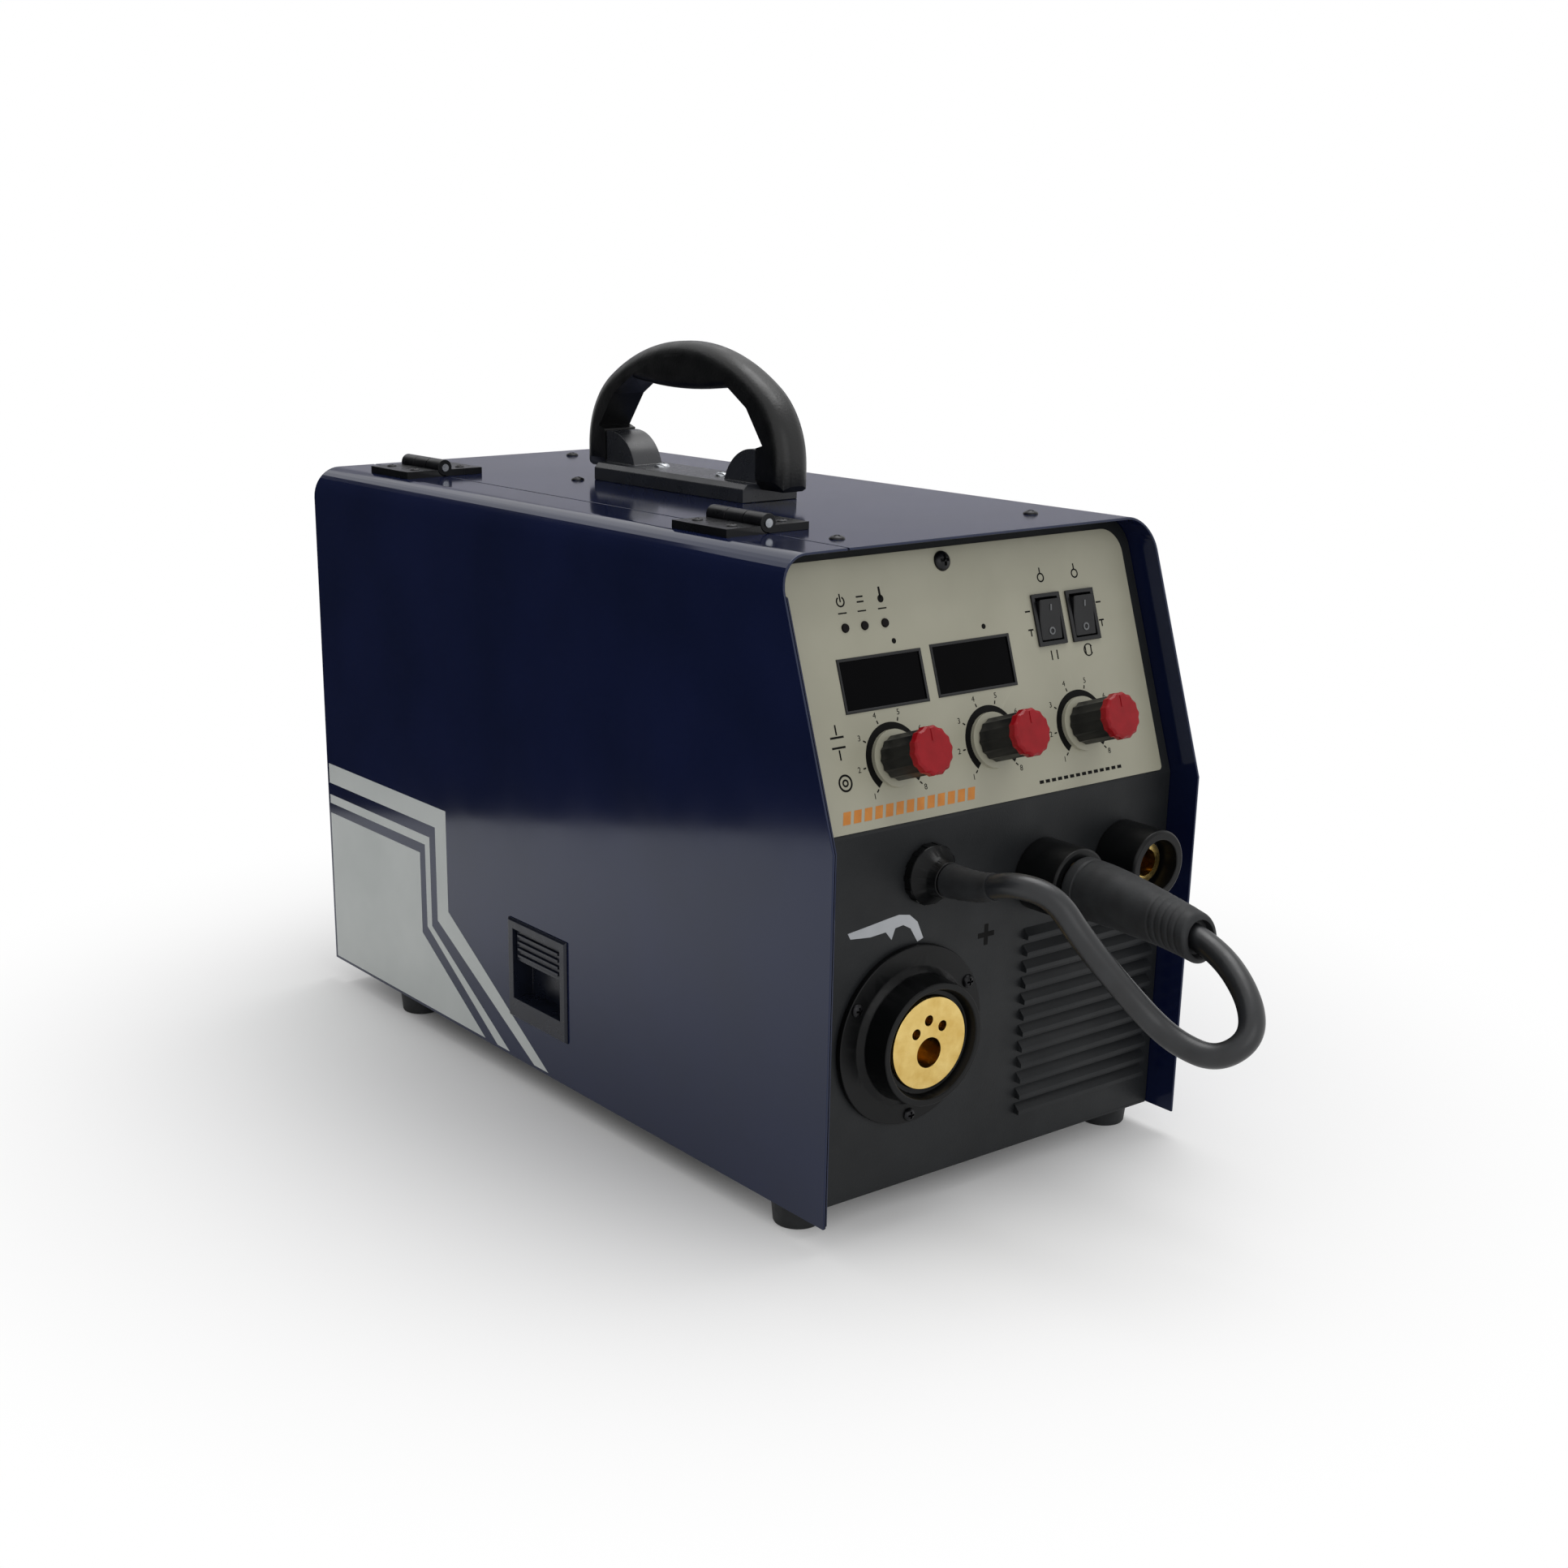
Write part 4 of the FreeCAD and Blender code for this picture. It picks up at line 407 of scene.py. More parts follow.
world = bpy.data.worlds.new("studio")
world.use_nodes = True
world.node_tree.nodes.clear()
path = addNode(world.node_tree, "ShaderNodeLightPath")
seen = addNode(world.node_tree, "ShaderNodeMath", {"operation": "MAXIMUM"},
               {0: path.outputs["Is Camera Ray"], 1: path.outputs["Is Glossy Ray"]})
seen = addNode(world.node_tree, "ShaderNodeMath", {"operation": "MAXIMUM"},
               {0: seen.outputs[0], 1: path.outputs["Is Transmission Ray"]})
power = addNode(world.node_tree, "ShaderNodeMapRange",
                inputs={"Value": seen.outputs[0], "To Min": 0.55, "To Max": 1.0})
sky = addNode(world.node_tree, "ShaderNodeBackground",
              inputs={"Color": (1, 1, 1, 1), "Strength": power.outputs["Result"]})
addNode(world.node_tree, "ShaderNodeOutputWorld", inputs={"Surface": sky.outputs["Background"]})
scene.world = world


def makeFloorPaper():
    # Matt white paper that keeps the object's shadow near it and is plain white further out.
    paper = bpy.data.materials.new("matt white background paper")
    paper.use_nodes = True
    tree = paper.node_tree
    tree.nodes.clear()
    where = addNode(tree, "ShaderNodeTexCoord").outputs["Object"]
    reach = addNode(tree, "ShaderNodeVectorMath", {"operation": "LENGTH"}, {0: where})
    far = addNode(tree, "ShaderNodeMapRange", {"interpolation_type": "SMOOTHSTEP"},
                  {"Value": reach.outputs["Value"], "From Min": 0.14, "From Max": 0.5})
    sight = addNode(tree, "ShaderNodeLightPath")
    direct = addNode(tree, "ShaderNodeMath", {"operation": "MAXIMUM"},
                     {0: sight.outputs["Is Camera Ray"], 1: sight.outputs["Is Glossy Ray"]})
    white = addNode(tree, "ShaderNodeMath", {"operation": "MULTIPLY"},
                    {0: far.outputs["Result"], 1: direct.outputs[0]})
    matt = addNode(tree, "ShaderNodeBsdfDiffuse", inputs={"Color": linear("#f6f6f6")})
    glow = addNode(tree, "ShaderNodeEmission", inputs={"Color": (1, 1, 1, 1), "Strength": 1.0})
    both = addNode(tree, "ShaderNodeMixShader",
                   inputs={0: white.outputs[0], 1: matt.outputs[0], 2: glow.outputs[0]})
    addNode(tree, "ShaderNodeOutputMaterial", inputs={"Surface": both.outputs[0]})
    return paper


floorMesh = bpy.data.meshes.new("floor")
floorMesh.from_pydata([(-4, -4, 0), (4, -4, 0), (4, 4, 0), (-4, 4, 0)], [], [(0, 1, 2, 3)])
floorMesh.materials.append(makeFloorPaper())
floor = bpy.data.objects.new("floor", floorMesh)
scene.collection.objects.link(floor)

# Cards out of sight, which only the gloss of the paint mirrors: a dark one beside the machine, so that its
# side shows the pale floor low down and dark above, and a grey one behind it, for the top.
cards = {
    # name: (colour, one end, other end, foot, head), in metres
    "darkCard": ("#15161a", (-0.16, 0.735), (-0.92, -0.115), 0.0, 0.9),
    "greyCard": ("#a9a9b2", (0.10, 1.30), (1.90, 0.50), 0.30, 0.75),
}


def makeCard(name, colour, start, end, foot, head):
    paper = bpy.data.materials.new("matt card, " + name)
    paper.use_nodes = True
    shader = paper.node_tree.nodes["Principled BSDF"]
    shader.inputs["Base Color"].default_value = linear(colour)
    shader.inputs["Roughness"].default_value = 0.9
    mesh = bpy.data.meshes.new(name)
    mesh.from_pydata([(*start, foot), (*end, foot), (*end, head), (*start, head)], [], [(0, 1, 2, 3)])
    mesh.materials.append(paper)
    card = bpy.data.objects.new(name, mesh)
    card.visible_camera = False
    card.visible_diffuse = False
    card.visible_shadow = False
    scene.collection.objects.link(card)
    return card


[makeCard(name, *values) for name, values in cards.items()]
print("camera, light and floor set")


# The polarity lead, from its gland to its plug in the middle socket

lead = {
    "route": [(-44.0, 12.0, 146.5), (-44.0, -16.0, 146.5), (-45.0, -36.0, 155.0), (-37.0, -53.0, 152.0),
              (-31.0, -64.0, 135.0), (-9.0, -80.0, 103.0), (-3.0, -95.0, 92.0), (2.0, -112.0, 89.0),
              (12.0, -121.0, 99.0), (20.0, -112.0, 112.0), (27.0, -88.0, 125.75), (27.0, -70.2, 129.2)],
    "diameter": 0.011, "length": 0.2446,
}


def routeCurve(name, thickness):
    curve = bpy.data.curves.new(name, "CURVE")
    curve.dimensions = "3D"
    spline = curve.splines.new("NURBS")
    spline.points.add(len(lead["route"]) - 1)
    for point, spot in zip(spline.points, lead["route"]):
        point.co = (*place(*spot), 1.0)
    spline.order_u = 3
    spline.use_endpoint_u = True
    spline.resolution_u = 14
    curve.bevel_depth = thickness
    curve.bevel_resolution = 8 if thickness else 0
    curve.use_fill_caps = bool(thickness)
    return curve


def centreLine():
    # points along the lead's own spline
    line = bpy.data.objects.new("leadLine", routeCurve("leadLine", 0.0))
    scene.collection.objects.link(line)
    mesh = bpy.data.meshes.new_from_object(line)
    points = [vertex.co.copy() for vertex in mesh.vertices]
    bpy.data.objects.remove(line)
    bpy.data.meshes.remove(mesh)
    return points


def leadSleeve():
    # the tapered strain relief that grips the lead where it leaves the gland
    length = 0.030
    points = []
    radii = []
    travelled = 0.0
    line = centreLine()
    for before, after in zip(line, line[1:]):
        if after.y < place(0, 3.0, 0).y and travelled < length:
            points.append(after)
            share = travelled / length
            ridge = 0.00025 if len(points) % 2 else 0.0
            radii.append(0.0078 - 0.0016 * share - ridge)
            travelled += (after - before).length
    bm = bmesh.new()
    addTube(bm, points, radii, 28)
    return meshOf("leadSleeve", bm, 60)


leadPiece = bpy.data.objects.new("polarityLead", routeCurve("polarityLead", lead["diameter"] / 2))
scene.collection.objects.link(leadPiece)
leadPiece.data.materials.append(leadRubber)
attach(leadPiece, "case")
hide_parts("polarity_cable")
sleevePiece = addPiece("leadSleeve", leadSleeve(), "case", mouldedRubber)

boot = {
    # distance in front of the case's front edge, height, radius, all mm
    "sections": [(8.3, 134.0, 13.9), (12.0, 134.0, 13.9), (24.0, 133.8, 13.6), (32.3, 133.4, 13.2),
                 (45.0, 132.3, 12.5), (58.3, 130.9, 11.7), (70.0, 129.2, 11.3), (78.4, 127.6, 11.0)],
    "droop": 11.0, "rings": 140, "sides": 48, "collarGroove": (14.5, 16.0, 0.8),
    "ridges": (57.0, 75.0, 3.6, 0.3), "round": 2.2,
    # the hollow mouth: distance and radius of each ring inside it
    "mouth": [(78.2, 8.4), (75.0, 7.8)],
}


def bootSize(along):
    # the boot's height and radius at a distance in front of the case
    for near, far in zip(boot["sections"], boot["sections"][1:]):
        if near[0] <= along <= far[0]:
            share = (along - near[0]) / (far[0] - near[0])
            return [start + (end - start) * share for start, end in zip(near[1:], far[1:])]
    return boot["sections"][-1][1:]


def bootRing(along, radius, groove=0.0):
    first, last = boot["sections"][0][0], boot["sections"][-1][0]
    height = bootSize(along)[0]
    lean = math.radians(boot["droop"]) * (along - first) / (last - first)
    ring = []
    for side in range(boot["sides"]):
        angle = 2 * math.pi * side / boot["sides"]
        # the ridges fade out above and below, as on a boot that is gripped at its sides
        reach = radius - groove * (0.35 + 0.65 * abs(math.cos(angle)))
        across = reach * math.cos(angle)
        rise = reach * math.sin(angle)
        ring.append(place(27.0 + across, -along + rise * math.sin(lean), height + rise * math.cos(lean)))
    return ring


def plugBoot():
    # a tapered boot that droops a little, with a collar at the socket, ridges by its mouth, and a hollow
    # mouth that the lead comes out of
    first, last = boot["sections"][0][0], boot["sections"][-1][0]
    collarFrom, collarTo, collarDepth = boot["collarGroove"]
    ridgeFrom, ridgeTo, ridgePitch, ridgeDepth = boot["ridges"]
    rings = []
    for step in range(boot["rings"] + 1):
        along = first + (last - first) * step / boot["rings"]
        radius = bootSize(along)[1]
        groove = 0.0
        if ridgeFrom < along < ridgeTo:
            groove = ridgeDepth * max(0.0, math.sin(2 * math.pi * (along - ridgeFrom) / ridgePitch)) ** 2
        if collarFrom < along < collarTo:
            groove = collarDepth
        edge = min(along - first, last - along)
        if edge < boot["round"]:
            radius -= boot["round"] - math.sqrt(max(0.0, boot["round"] ** 2 - (boot["round"] - edge) ** 2))
        rings.append(bootRing(along, radius, groove))
    for along, radius in boot["mouth"]:
        rings.append(bootRing(along, radius))
    bm = bmesh.new()
    addRings(bm, rings)
    return meshOf("plugBoot", bm, 50)


bootPiece = addPiece("plugBoot", plugBoot(), "case", mouldedRubber, ["polarity_plug"])
print("lead laid")


# The CAD's own shapes, with their edges softened as paint, moulding and casting soften them

softEdges = {
    # node: (piece's name, edge radius in mm, finish where it isn't the slot's own)
    "top_cover": ("topCover", 0.4, None), "side_door": ("sideDoor", 0.4, None),
    "front_panel": ("frontPanel", 0.25, None), "rear_panel": ("rearPanel", 0.25, None),
    "base_pan": ("basePan", 0.3, None), "rubber_feet": ("rubberFeet", 1.0, None),
    "hinge_fixed_leaves": ("hingeLeavesFixed", 0.5, hingeCoat),
    "hinge_door_leaves": ("hingeLeavesDoor", 0.5, hingeCoat),
    "latch_housing": ("latchHousing", 0.3, latchShell), "latch_slide": ("latchSlide", 0.3, latchShell),
    "handle_base": ("handleBase", 0.8, handleFoot), "carry_handle": ("carryHandle", 0.5, None),
    "control_fascia": ("controlFascia", 0.25, None), "display_windows": ("displayWindows", 0.2, None),
    "indicator_leds": ("indicatorLamps", 0.5, None), "switch_frames": ("switchFrames", 0.35, None),
    "power_switch": ("powerSwitch", 0.8, None), "rocker_left": ("rockerLeft", 0.8, None),
    "rocker_right": ("rockerRight", 0.8, None), "knob_left": ("knobLeft", 0.3, None),
    "knob_middle": ("knobMiddle", 0.3, None), "knob_right": ("knobRight", 0.3, None),
    "knob_cap_left": ("knobCapLeft", 0.35, None), "knob_cap_middle": ("knobCapMiddle", 0.35, None),
    "knob_cap_right": ("knobCapRight", 0.35, None),
    "torch_connector": ("torchConnector", 0.6, nylonShell), "torch_brass": ("torchBrass", 0.3, None),
    "output_sockets": ("outputSockets", 0.5, nylonShell), "polarity_gland": ("leadGland", 0.5, nylonShell),
    "power_cord_gland": ("mainsGland", 0.5, nylonShell), "gas_inlet": ("gasTail", 0.3, None),
    "feeder_plate": ("feederPlate", 0.6, None), "drive_motor": ("driveMotor", 0.8, None),
    "pressure_arm": ("pressureArm", 0.5, None), "tension_lever": ("tensionLever", 0.3, None),
    "tension_knob": ("tensionKnob", 0.6, None), "drive_roll": ("driveRoll", 0.3, None),
    "pressure_roll": ("pressureRoll", 0.3, None), "drive_shaft": ("driveShaft", 0.4, None),
    "spool_hub": ("spoolHub", 0.5, None), "hub_nut": ("hubNut", 0.6, None),
    "spool_axle": ("spoolAxle", 0.4, None), "fan_frame": ("fanFrame", 0.5, None),
    "fan_rotor": ("fanRotor", 0.3, None), "divider_wall": ("dividerWall", 0.3, None),
}


def softened(node, name, edge, finish):
    bm = bmesh.new()
    bm.from_mesh(frame["nodes"][node].data)
    bmesh.ops.remove_doubles(bm, verts=bm.verts, dist=3e-6)
    bmesh.ops.dissolve_limit(bm, angle_limit=math.radians(1.0), verts=bm.verts, edges=bm.edges)
    mesh = meshOf(name, bm, 30)
    piece = addPiece(name, mesh, bodyOf[node], finish, [node])
    bevel = piece.modifiers.new("softEdge", "BEVEL")
    bevel.width = edge / 1000
    bevel.segments = 2
    bevel.limit_method = "ANGLE"
    bevel.angle_limit = math.radians(32)
    bevel.harden_normals = True
    return piece


for node, (name, edge, finish) in softEdges.items():
    softened(node, name, edge, finish or finishes[slotOf[node]])
for node, piece in frame["nodes"].items():
    if node not in softEdges and not piece.hide_render:
        piece.data.materials.clear()
        piece.data.materials.append(finishes[slotOf[node]])
print("edges softened")


# What repeats: screws, dial ticks and grip ribs, grown by geometry nodes

def startTree(name, sizes):
    tree = bpy.data.node_groups.new(name, "GeometryNodeTree")
    tree.interface.new_socket("Spots", in_out="INPUT", socket_type="NodeSocketGeometry")
    for label, kind in sizes.items():
        tree.interface.new_socket(label, in_out="INPUT", socket_type="NodeSocket" + kind)
    tree.interface.new_socket("Result", in_out="OUTPUT", socket_type="NodeSocketGeometry")
    start = addNode(tree, "NodeGroupInput")
    return tree, start.outputs


def endTree(tree, given, shape):
    # puts the shape on every spot, turned as the spot says, as real mesh in its finish
    turn = addNode(tree, "GeometryNodeInputNamedAttribute", {"data_type": "FLOAT_VECTOR"}, {"Name": "turn"})
    rotation = addNode(tree, "FunctionNodeEulerToRotation", inputs={"Euler": turn.outputs["Attribute"]})
    put = addNode(tree, "GeometryNodeInstanceOnPoints",
                  inputs={"Points": given["Spots"], "Instance": shape, "Rotation": rotation.outputs[0]})
    real = addNode(tree, "GeometryNodeRealizeInstances", inputs={"Geometry": put.outputs["Instances"]})
    coated = addNode(tree, "GeometryNodeSetMaterial",
                     inputs={"Geometry": real.outputs["Geometry"], "Material": given["Finish"]})
    addNode(tree, "NodeGroupOutput", inputs={"Result": coated.outputs["Geometry"]})
    return tree


def grown(name, tree, spots, sizes):
    # runs a tree on spots and their turns, and gives back a plain mesh
    cloud = bpy.data.meshes.new(name + "Spots")
    cloud.from_pydata([spot for spot, turn in spots], [], [])
    turns = cloud.attributes.new("turn", "FLOAT_VECTOR", "POINT")
    for index, (spot, turn) in enumerate(spots):
        turns.data[index].vector = turn.to_euler()
    carrier = bpy.data.objects.new(name + "Carrier", cloud)
    scene.collection.objects.link(carrier)
    modifier = carrier.modifiers.new("grow", "NODES")
    modifier.node_group = tree
    for item in tree.interface.items_tree:
        if item.in_out == "INPUT" and item.name in sizes:
            modifier[item.identifier] = sizes[item.name]
    bpy.context.view_layer.update()
    evaluated = carrier.evaluated_get(bpy.context.evaluated_depsgraph_get())
    mesh = bpy.data.meshes.new_from_object(evaluated)
    mesh.name = name
    carrier.modifiers.remove(modifier)
    bpy.data.objects.remove(carrier)
    for attribute in [item for item in mesh.attributes if item.name == "turn"]:
        mesh.attributes.remove(attribute)
    mesh.shade_smooth()
    mesh.set_sharp_from_angle(angle=math.radians(35))
    return mesh


def screwTree():
    # a domed head with a cross recess cut from its top
    tree, given = startTree("crossRecessScrews", {"Head radius": "Float", "Head height": "Float",
                                                  "Recess length": "Float", "Recess width": "Float",
                                                  "Finish": "Material"})
    ball = addNode(tree, "GeometryNodeMeshUVSphere", inputs={"Segments": 28, "Rings": 16, "Radius": 1.0})
    squash = addNode(tree, "ShaderNodeCombineXYZ",
                     inputs={"X": given["Head radius"], "Y": given["Head radius"], "Z": given["Head height"]})
    dome = addNode(tree, "GeometryNodeTransform",
                   inputs={"Geometry": ball.outputs["Mesh"], "Scale": squash.outputs[0]})
    lift = addNode(tree, "ShaderNodeCombineXYZ", inputs={"Z": given["Head height"]})
    shape = dome.outputs["Geometry"]
    for length, width in (("Recess length", "Recess width"), ("Recess width", "Recess length")):
        size = addNode(tree, "ShaderNodeCombineXYZ",
                       inputs={"X": given[length], "Y": given[width], "Z": given["Head height"]})
        bar = addNode(tree, "GeometryNodeMeshCube", inputs={"Size": size.outputs[0]})
        raised = addNode(tree, "GeometryNodeTransform",
                         inputs={"Geometry": bar.outputs["Mesh"], "Translation": lift.outputs[0]})
        cut = addNode(tree, "GeometryNodeMeshBoolean", {"operation": "DIFFERENCE"},
                      {"Mesh 1": shape, "Mesh 2": raised.outputs["Geometry"]})
        shape = cut.outputs["Mesh"]
    return endTree(tree, given, shape)


def barRingTree():
    # bars that stand along an arc, each turned to the arc's centre: dial ticks, knurls and ribs
    tree, given = startTree("ringOfBars", {"Count": "Int", "Ring radius": "Float", "Start angle": "Float",
                                           "Sweep": "Float", "Bar length": "Float", "Bar width": "Float",
                                           "Bar height": "Float", "Lift": "Float", "Finish": "Material"})
    arc = addNode(tree, "GeometryNodeCurveArc", {"mode": "RADIUS"},
                  {"Resolution": given["Count"], "Radius": given["Ring radius"],
                   "Start Angle": given["Start angle"], "Sweep Angle": given["Sweep"]})
    stations = addNode(tree, "GeometryNodeCurveToPoints", {"mode": "EVALUATED"},
                       {"Curve": arc.outputs["Curve"]})
    spot = addNode(tree, "GeometryNodeInputPosition")
    outward = addNode(tree, "FunctionNodeAlignRotationToVector", {"axis": "X"},
                      {"Vector": spot.outputs["Position"]})
    size = addNode(tree, "ShaderNodeCombineXYZ",
                   inputs={"X": given["Bar length"], "Y": given["Bar width"], "Z": given["Bar height"]})
    bar = addNode(tree, "GeometryNodeMeshCube", inputs={"Size": size.outputs[0]})
    ring = addNode(tree, "GeometryNodeInstanceOnPoints",
                   inputs={"Points": stations.outputs["Points"], "Instance": bar.outputs["Mesh"],
                           "Rotation": outward.outputs["Rotation"]})
    lift = addNode(tree, "ShaderNodeCombineXYZ", inputs={"Z": given["Lift"]})
    raised = addNode(tree, "GeometryNodeTransform",
                     inputs={"Geometry": ring.outputs["Instances"], "Translation": lift.outputs[0]})
    return endTree(tree, given, raised.outputs["Geometry"])


screws = screwTree()
barRing = barRingTree()
upward = facing((0, 0, 1))
leftward = facing((-1, 0, 0))
rightward = facing((1, 0, 0))
forward = facing((0, -1, 0))
rearward = facing((0, 1, 0))

torchCircle = {"x": -52, "y": 13.5, "z": 73, "radius": 38, "angles": (30, 150, 270)}
torchScrews = []
for angle in torchCircle["angles"]:
    x = torchCircle["x"] + torchCircle["radius"] * math.cos(math.radians(angle))
    z = torchCircle["z"] + torchCircle["radius"] * math.sin(math.radians(angle))
    torchScrews.append((place(x, torchCircle["y"], z), forward))
hingeRows = [y + along for y in (114.5, 393.0) for along in (-12.5, 12.5)]
screwSets = {
    # name: (body, head radius, head height, recess width, finish, spots)
    "coverScrews": ("case", 3.6, 1.7, 1.1, blackScrew,
                    [(place(x, y, 288), upward) for x, y in ((-60, 64), (69, 76), (44, 426), (-25, 317))]),
    "sideScrews": ("case", 3.6, 1.3, 1.1, blackScrew,
                   [(place(112.5, y, 11), rightward) for y in (40, 226, 412)]),
    "fasciaScrew": ("case", 4.6, 2.6, 1.4, blackScrew, [(onFascia(-10, 111.8), fasciaTurn)]),
    "torchScrews": ("case", 3.2, 2.0, 1.0, blackScrew, torchScrews),
    "handleScrews": ("case", 4.2, 2.0, 1.2, zincPlate,
                     [(place(0, 249 + y, 297), upward) for y in (-26, 26)]),
    "hingeScrewsFixed": ("case", 2.6, 1.0, 0.8, blackScrew,
                         [(place(-60, y, 291.6), upward) for y in hingeRows]),
    "hingeScrewsDoor": ("door", 2.6, 1.0, 0.8, blackScrew,
                        [(place(-88, y, 291.6), upward) for y in hingeRows]),
    "rearScrews": ("case", 3.4, 1.6, 1.0, blackScrew,
                   [(place(x, 440, z), rearward) for x, z in
                    ((-100, 24), (-100, 150), (-96, 268), (100, 140), (96, 268), (13, 113), (104, 113),
                     (13, 24), (104, 24))]),
    "feederScrews": ("case", 2.8, 1.6, 0.9, zincPlate,
                     [(place(-40, y, z), leftward) for y, z in ((70, 40), (144, 40), (144, 76))]),
}
for name, (body, radius, height, width, finish, spots) in screwSets.items():
    mesh = grown(name, screws, spots, {"Head radius": radius / 1000, "Head height": height / 1000,
                                       "Recess length": radius * 1.1 / 1000, "Recess width": width / 1000,
                                       "Finish": finish})
    addPiece(name, mesh, body, finish)

knobSpots = {"Left": (-58.0, 30.0), "Middle": (0.0, 30.0), "Right": (57.0, 30.0)}
dial = {"numbers": 8, "sweep": 270.0, "start": 225.0, "ringIn": 12.7, "ringOut": 15.9,
        "tickReach": 17.5, "tick": 1.6, "numberReach": 20.6, "numberSize": 3.6}
tickSizes = {"Count": dial["numbers"], "Ring radius": dial["tickReach"] / 1000,
             "Start angle": math.radians(dial["start"]), "Sweep": -math.radians(dial["sweep"]),
             "Bar length": dial["tick"] / 1000,
             "Bar width": 0.0006, "Bar height": 0.00012, "Lift": 0.00002, "Finish": blackInk}
ticks = grown("dialTicks", barRing, [(onFascia(x, s), fasciaTurn) for x, s in knobSpots.values()], tickSizes)
addPiece("dialTicks", ticks, "case", blackInk)

leverPivot = place(-52.0, 78.0, 80.0)
leverTurn = Matrix.Rotation(math.radians(50), 3, "X")
knurls = grown("tensionKnurls", barRing, [(leverPivot, leverTurn)],
               {"Count": 24, "Ring radius": 0.0089, "Start angle": 0.0, "Sweep": math.radians(345),
                "Bar length": 0.0008, "Bar width": 0.0011, "Bar height": 0.013, "Lift": 0.0475,
                "Finish": satinPlastic})
addPiece("tensionKnurls", knurls, "lever_knob", satinPlastic)
glandRibs = grown("mainsGlandRibs", barRing, [(place(58.0, 440.0, 184.0), rearward)],
                  {"Count": 16, "Ring radius": 0.0127, "Start angle": 0.0, "Sweep": math.radians(337.5),
                   "Bar length": 0.0016, "Bar width": 0.0022, "Bar height": 0.0046, "Lift": 0.0025,
                   "Finish": nylonShell})
addPiece("mainsGlandRibs", glandRibs, "case", nylonShell)
leadGlandRibs = grown("leadGlandRibs", barRing, [(place(-44.0, 16.5, 146.5), forward)],
                      {"Count": 14, "Ring radius": 0.0131, "Start angle": 0.0,
                       "Sweep": math.radians(360 - 360 / 14), "Bar length": 0.0014, "Bar width": 0.0022,
                       "Bar height": 0.0038, "Lift": 0.0020, "Finish": nylonShell})
addPiece("leadGlandRibs", leadGlandRibs, "case", nylonShell)
print("screws, ticks and ribs grown")


# Print on the control face

def textMesh(words, size):
    # lettering in millimetres, made flat mesh before it is placed
    data = bpy.data.curves.new("number", "FONT")
    data.body = words
    data.size = size
    data.align_x = "CENTER"
    data.align_y = "CENTER"
    data.extrude = 0.05
    letter = bpy.data.objects.new("number", data)
    scene.collection.objects.link(letter)
    mesh = bpy.data.meshes.new_from_object(letter.evaluated_get(bpy.context.evaluated_depsgraph_get()))
    bpy.data.objects.remove(letter)
    return mesh


def addWords(bm, words, size, matrix):
    mesh = textMesh(words, size)
    mesh.transform(matrix)
    bm.from_mesh(mesh)
    bpy.data.meshes.remove(mesh)


def arcBand(centreX, centreY, inner, outer, fromDegrees, toDegrees, steps=40):
    outline = []
    for reach, order in ((outer, range(steps + 1)), (inner, range(steps, -1, -1))):
        for step in order:
            angle = math.radians(fromDegrees + (toDegrees - fromDegrees) * step / steps)
            outline.append((centreX + reach * math.cos(angle), centreY + reach * math.sin(angle)))
    return outline


def stroke(x0, y0, x1, y1, width):
    along = Vector((x1 - x0, y1 - y0)).normalized() * width / 2
    side = Vector((-along.y, along.x))
    return [(x0 - side.x, y0 - side.y), (x1 - side.x, y1 - side.y), (x1 + side.x, y1 + side.y),
            (x0 + side.x, y0 + side.y)]


facePrint = {
    # strokes: both ends and a width; rings: centre, inner and outer radius, first and last angle; all mm
    "lampStrokes": [(-62.6, 98.6, -58.8, 98.6, 0.7), (-62.6, 100.8, -58.8, 100.8, 0.7),
                    (-71.6, 99.4, -71.6, 103.0, 0.7), (-49.1, 99.0, -49.1, 104.0, 1.1)],
    "lampRings": [(-71.6, 99.6, 1.7, 2.4, 120, 420), (-49.1, 98.8, 0.0, 1.7, 0, 359.9)],
    # beside the first knob: a plate's thickness, and a coil of wire
    "knobStrokes": [(-91.0, 43.0, -83.6, 43.0, 0.9), (-91.0, 38.6, -83.6, 38.6, 0.9),
                    (-87.3, 44.0, -87.3, 48.4, 0.8), (-87.3, 33.2, -87.3, 37.6, 0.8)],
    "knobRings": [(-87.3, 23.4, 2.9, 3.8, 0, 359.9), (-87.3, 23.4, 0.9, 1.7, 0, 359.9)],
    # a dot over each display, and the symbol under the second switch
    "otherRings": [(-46.0, 80.0, 0.0, 1.2, 0, 359.9), (7.6, 80.7, 0.0, 1.2, 0, 359.9),
                   (70.0, 63.2, 2.4, 3.0, 30, 330)],
    "lampsAt": (-71.6, -60.7, -49.1), "switchesAt": (48.0, 70.0), "switchSidesAt": (36.0, 82.0),
    "dashes": 14, "dashStart": 24.0, "dashPitch": 3.9, "dashLength": 2.6,
}


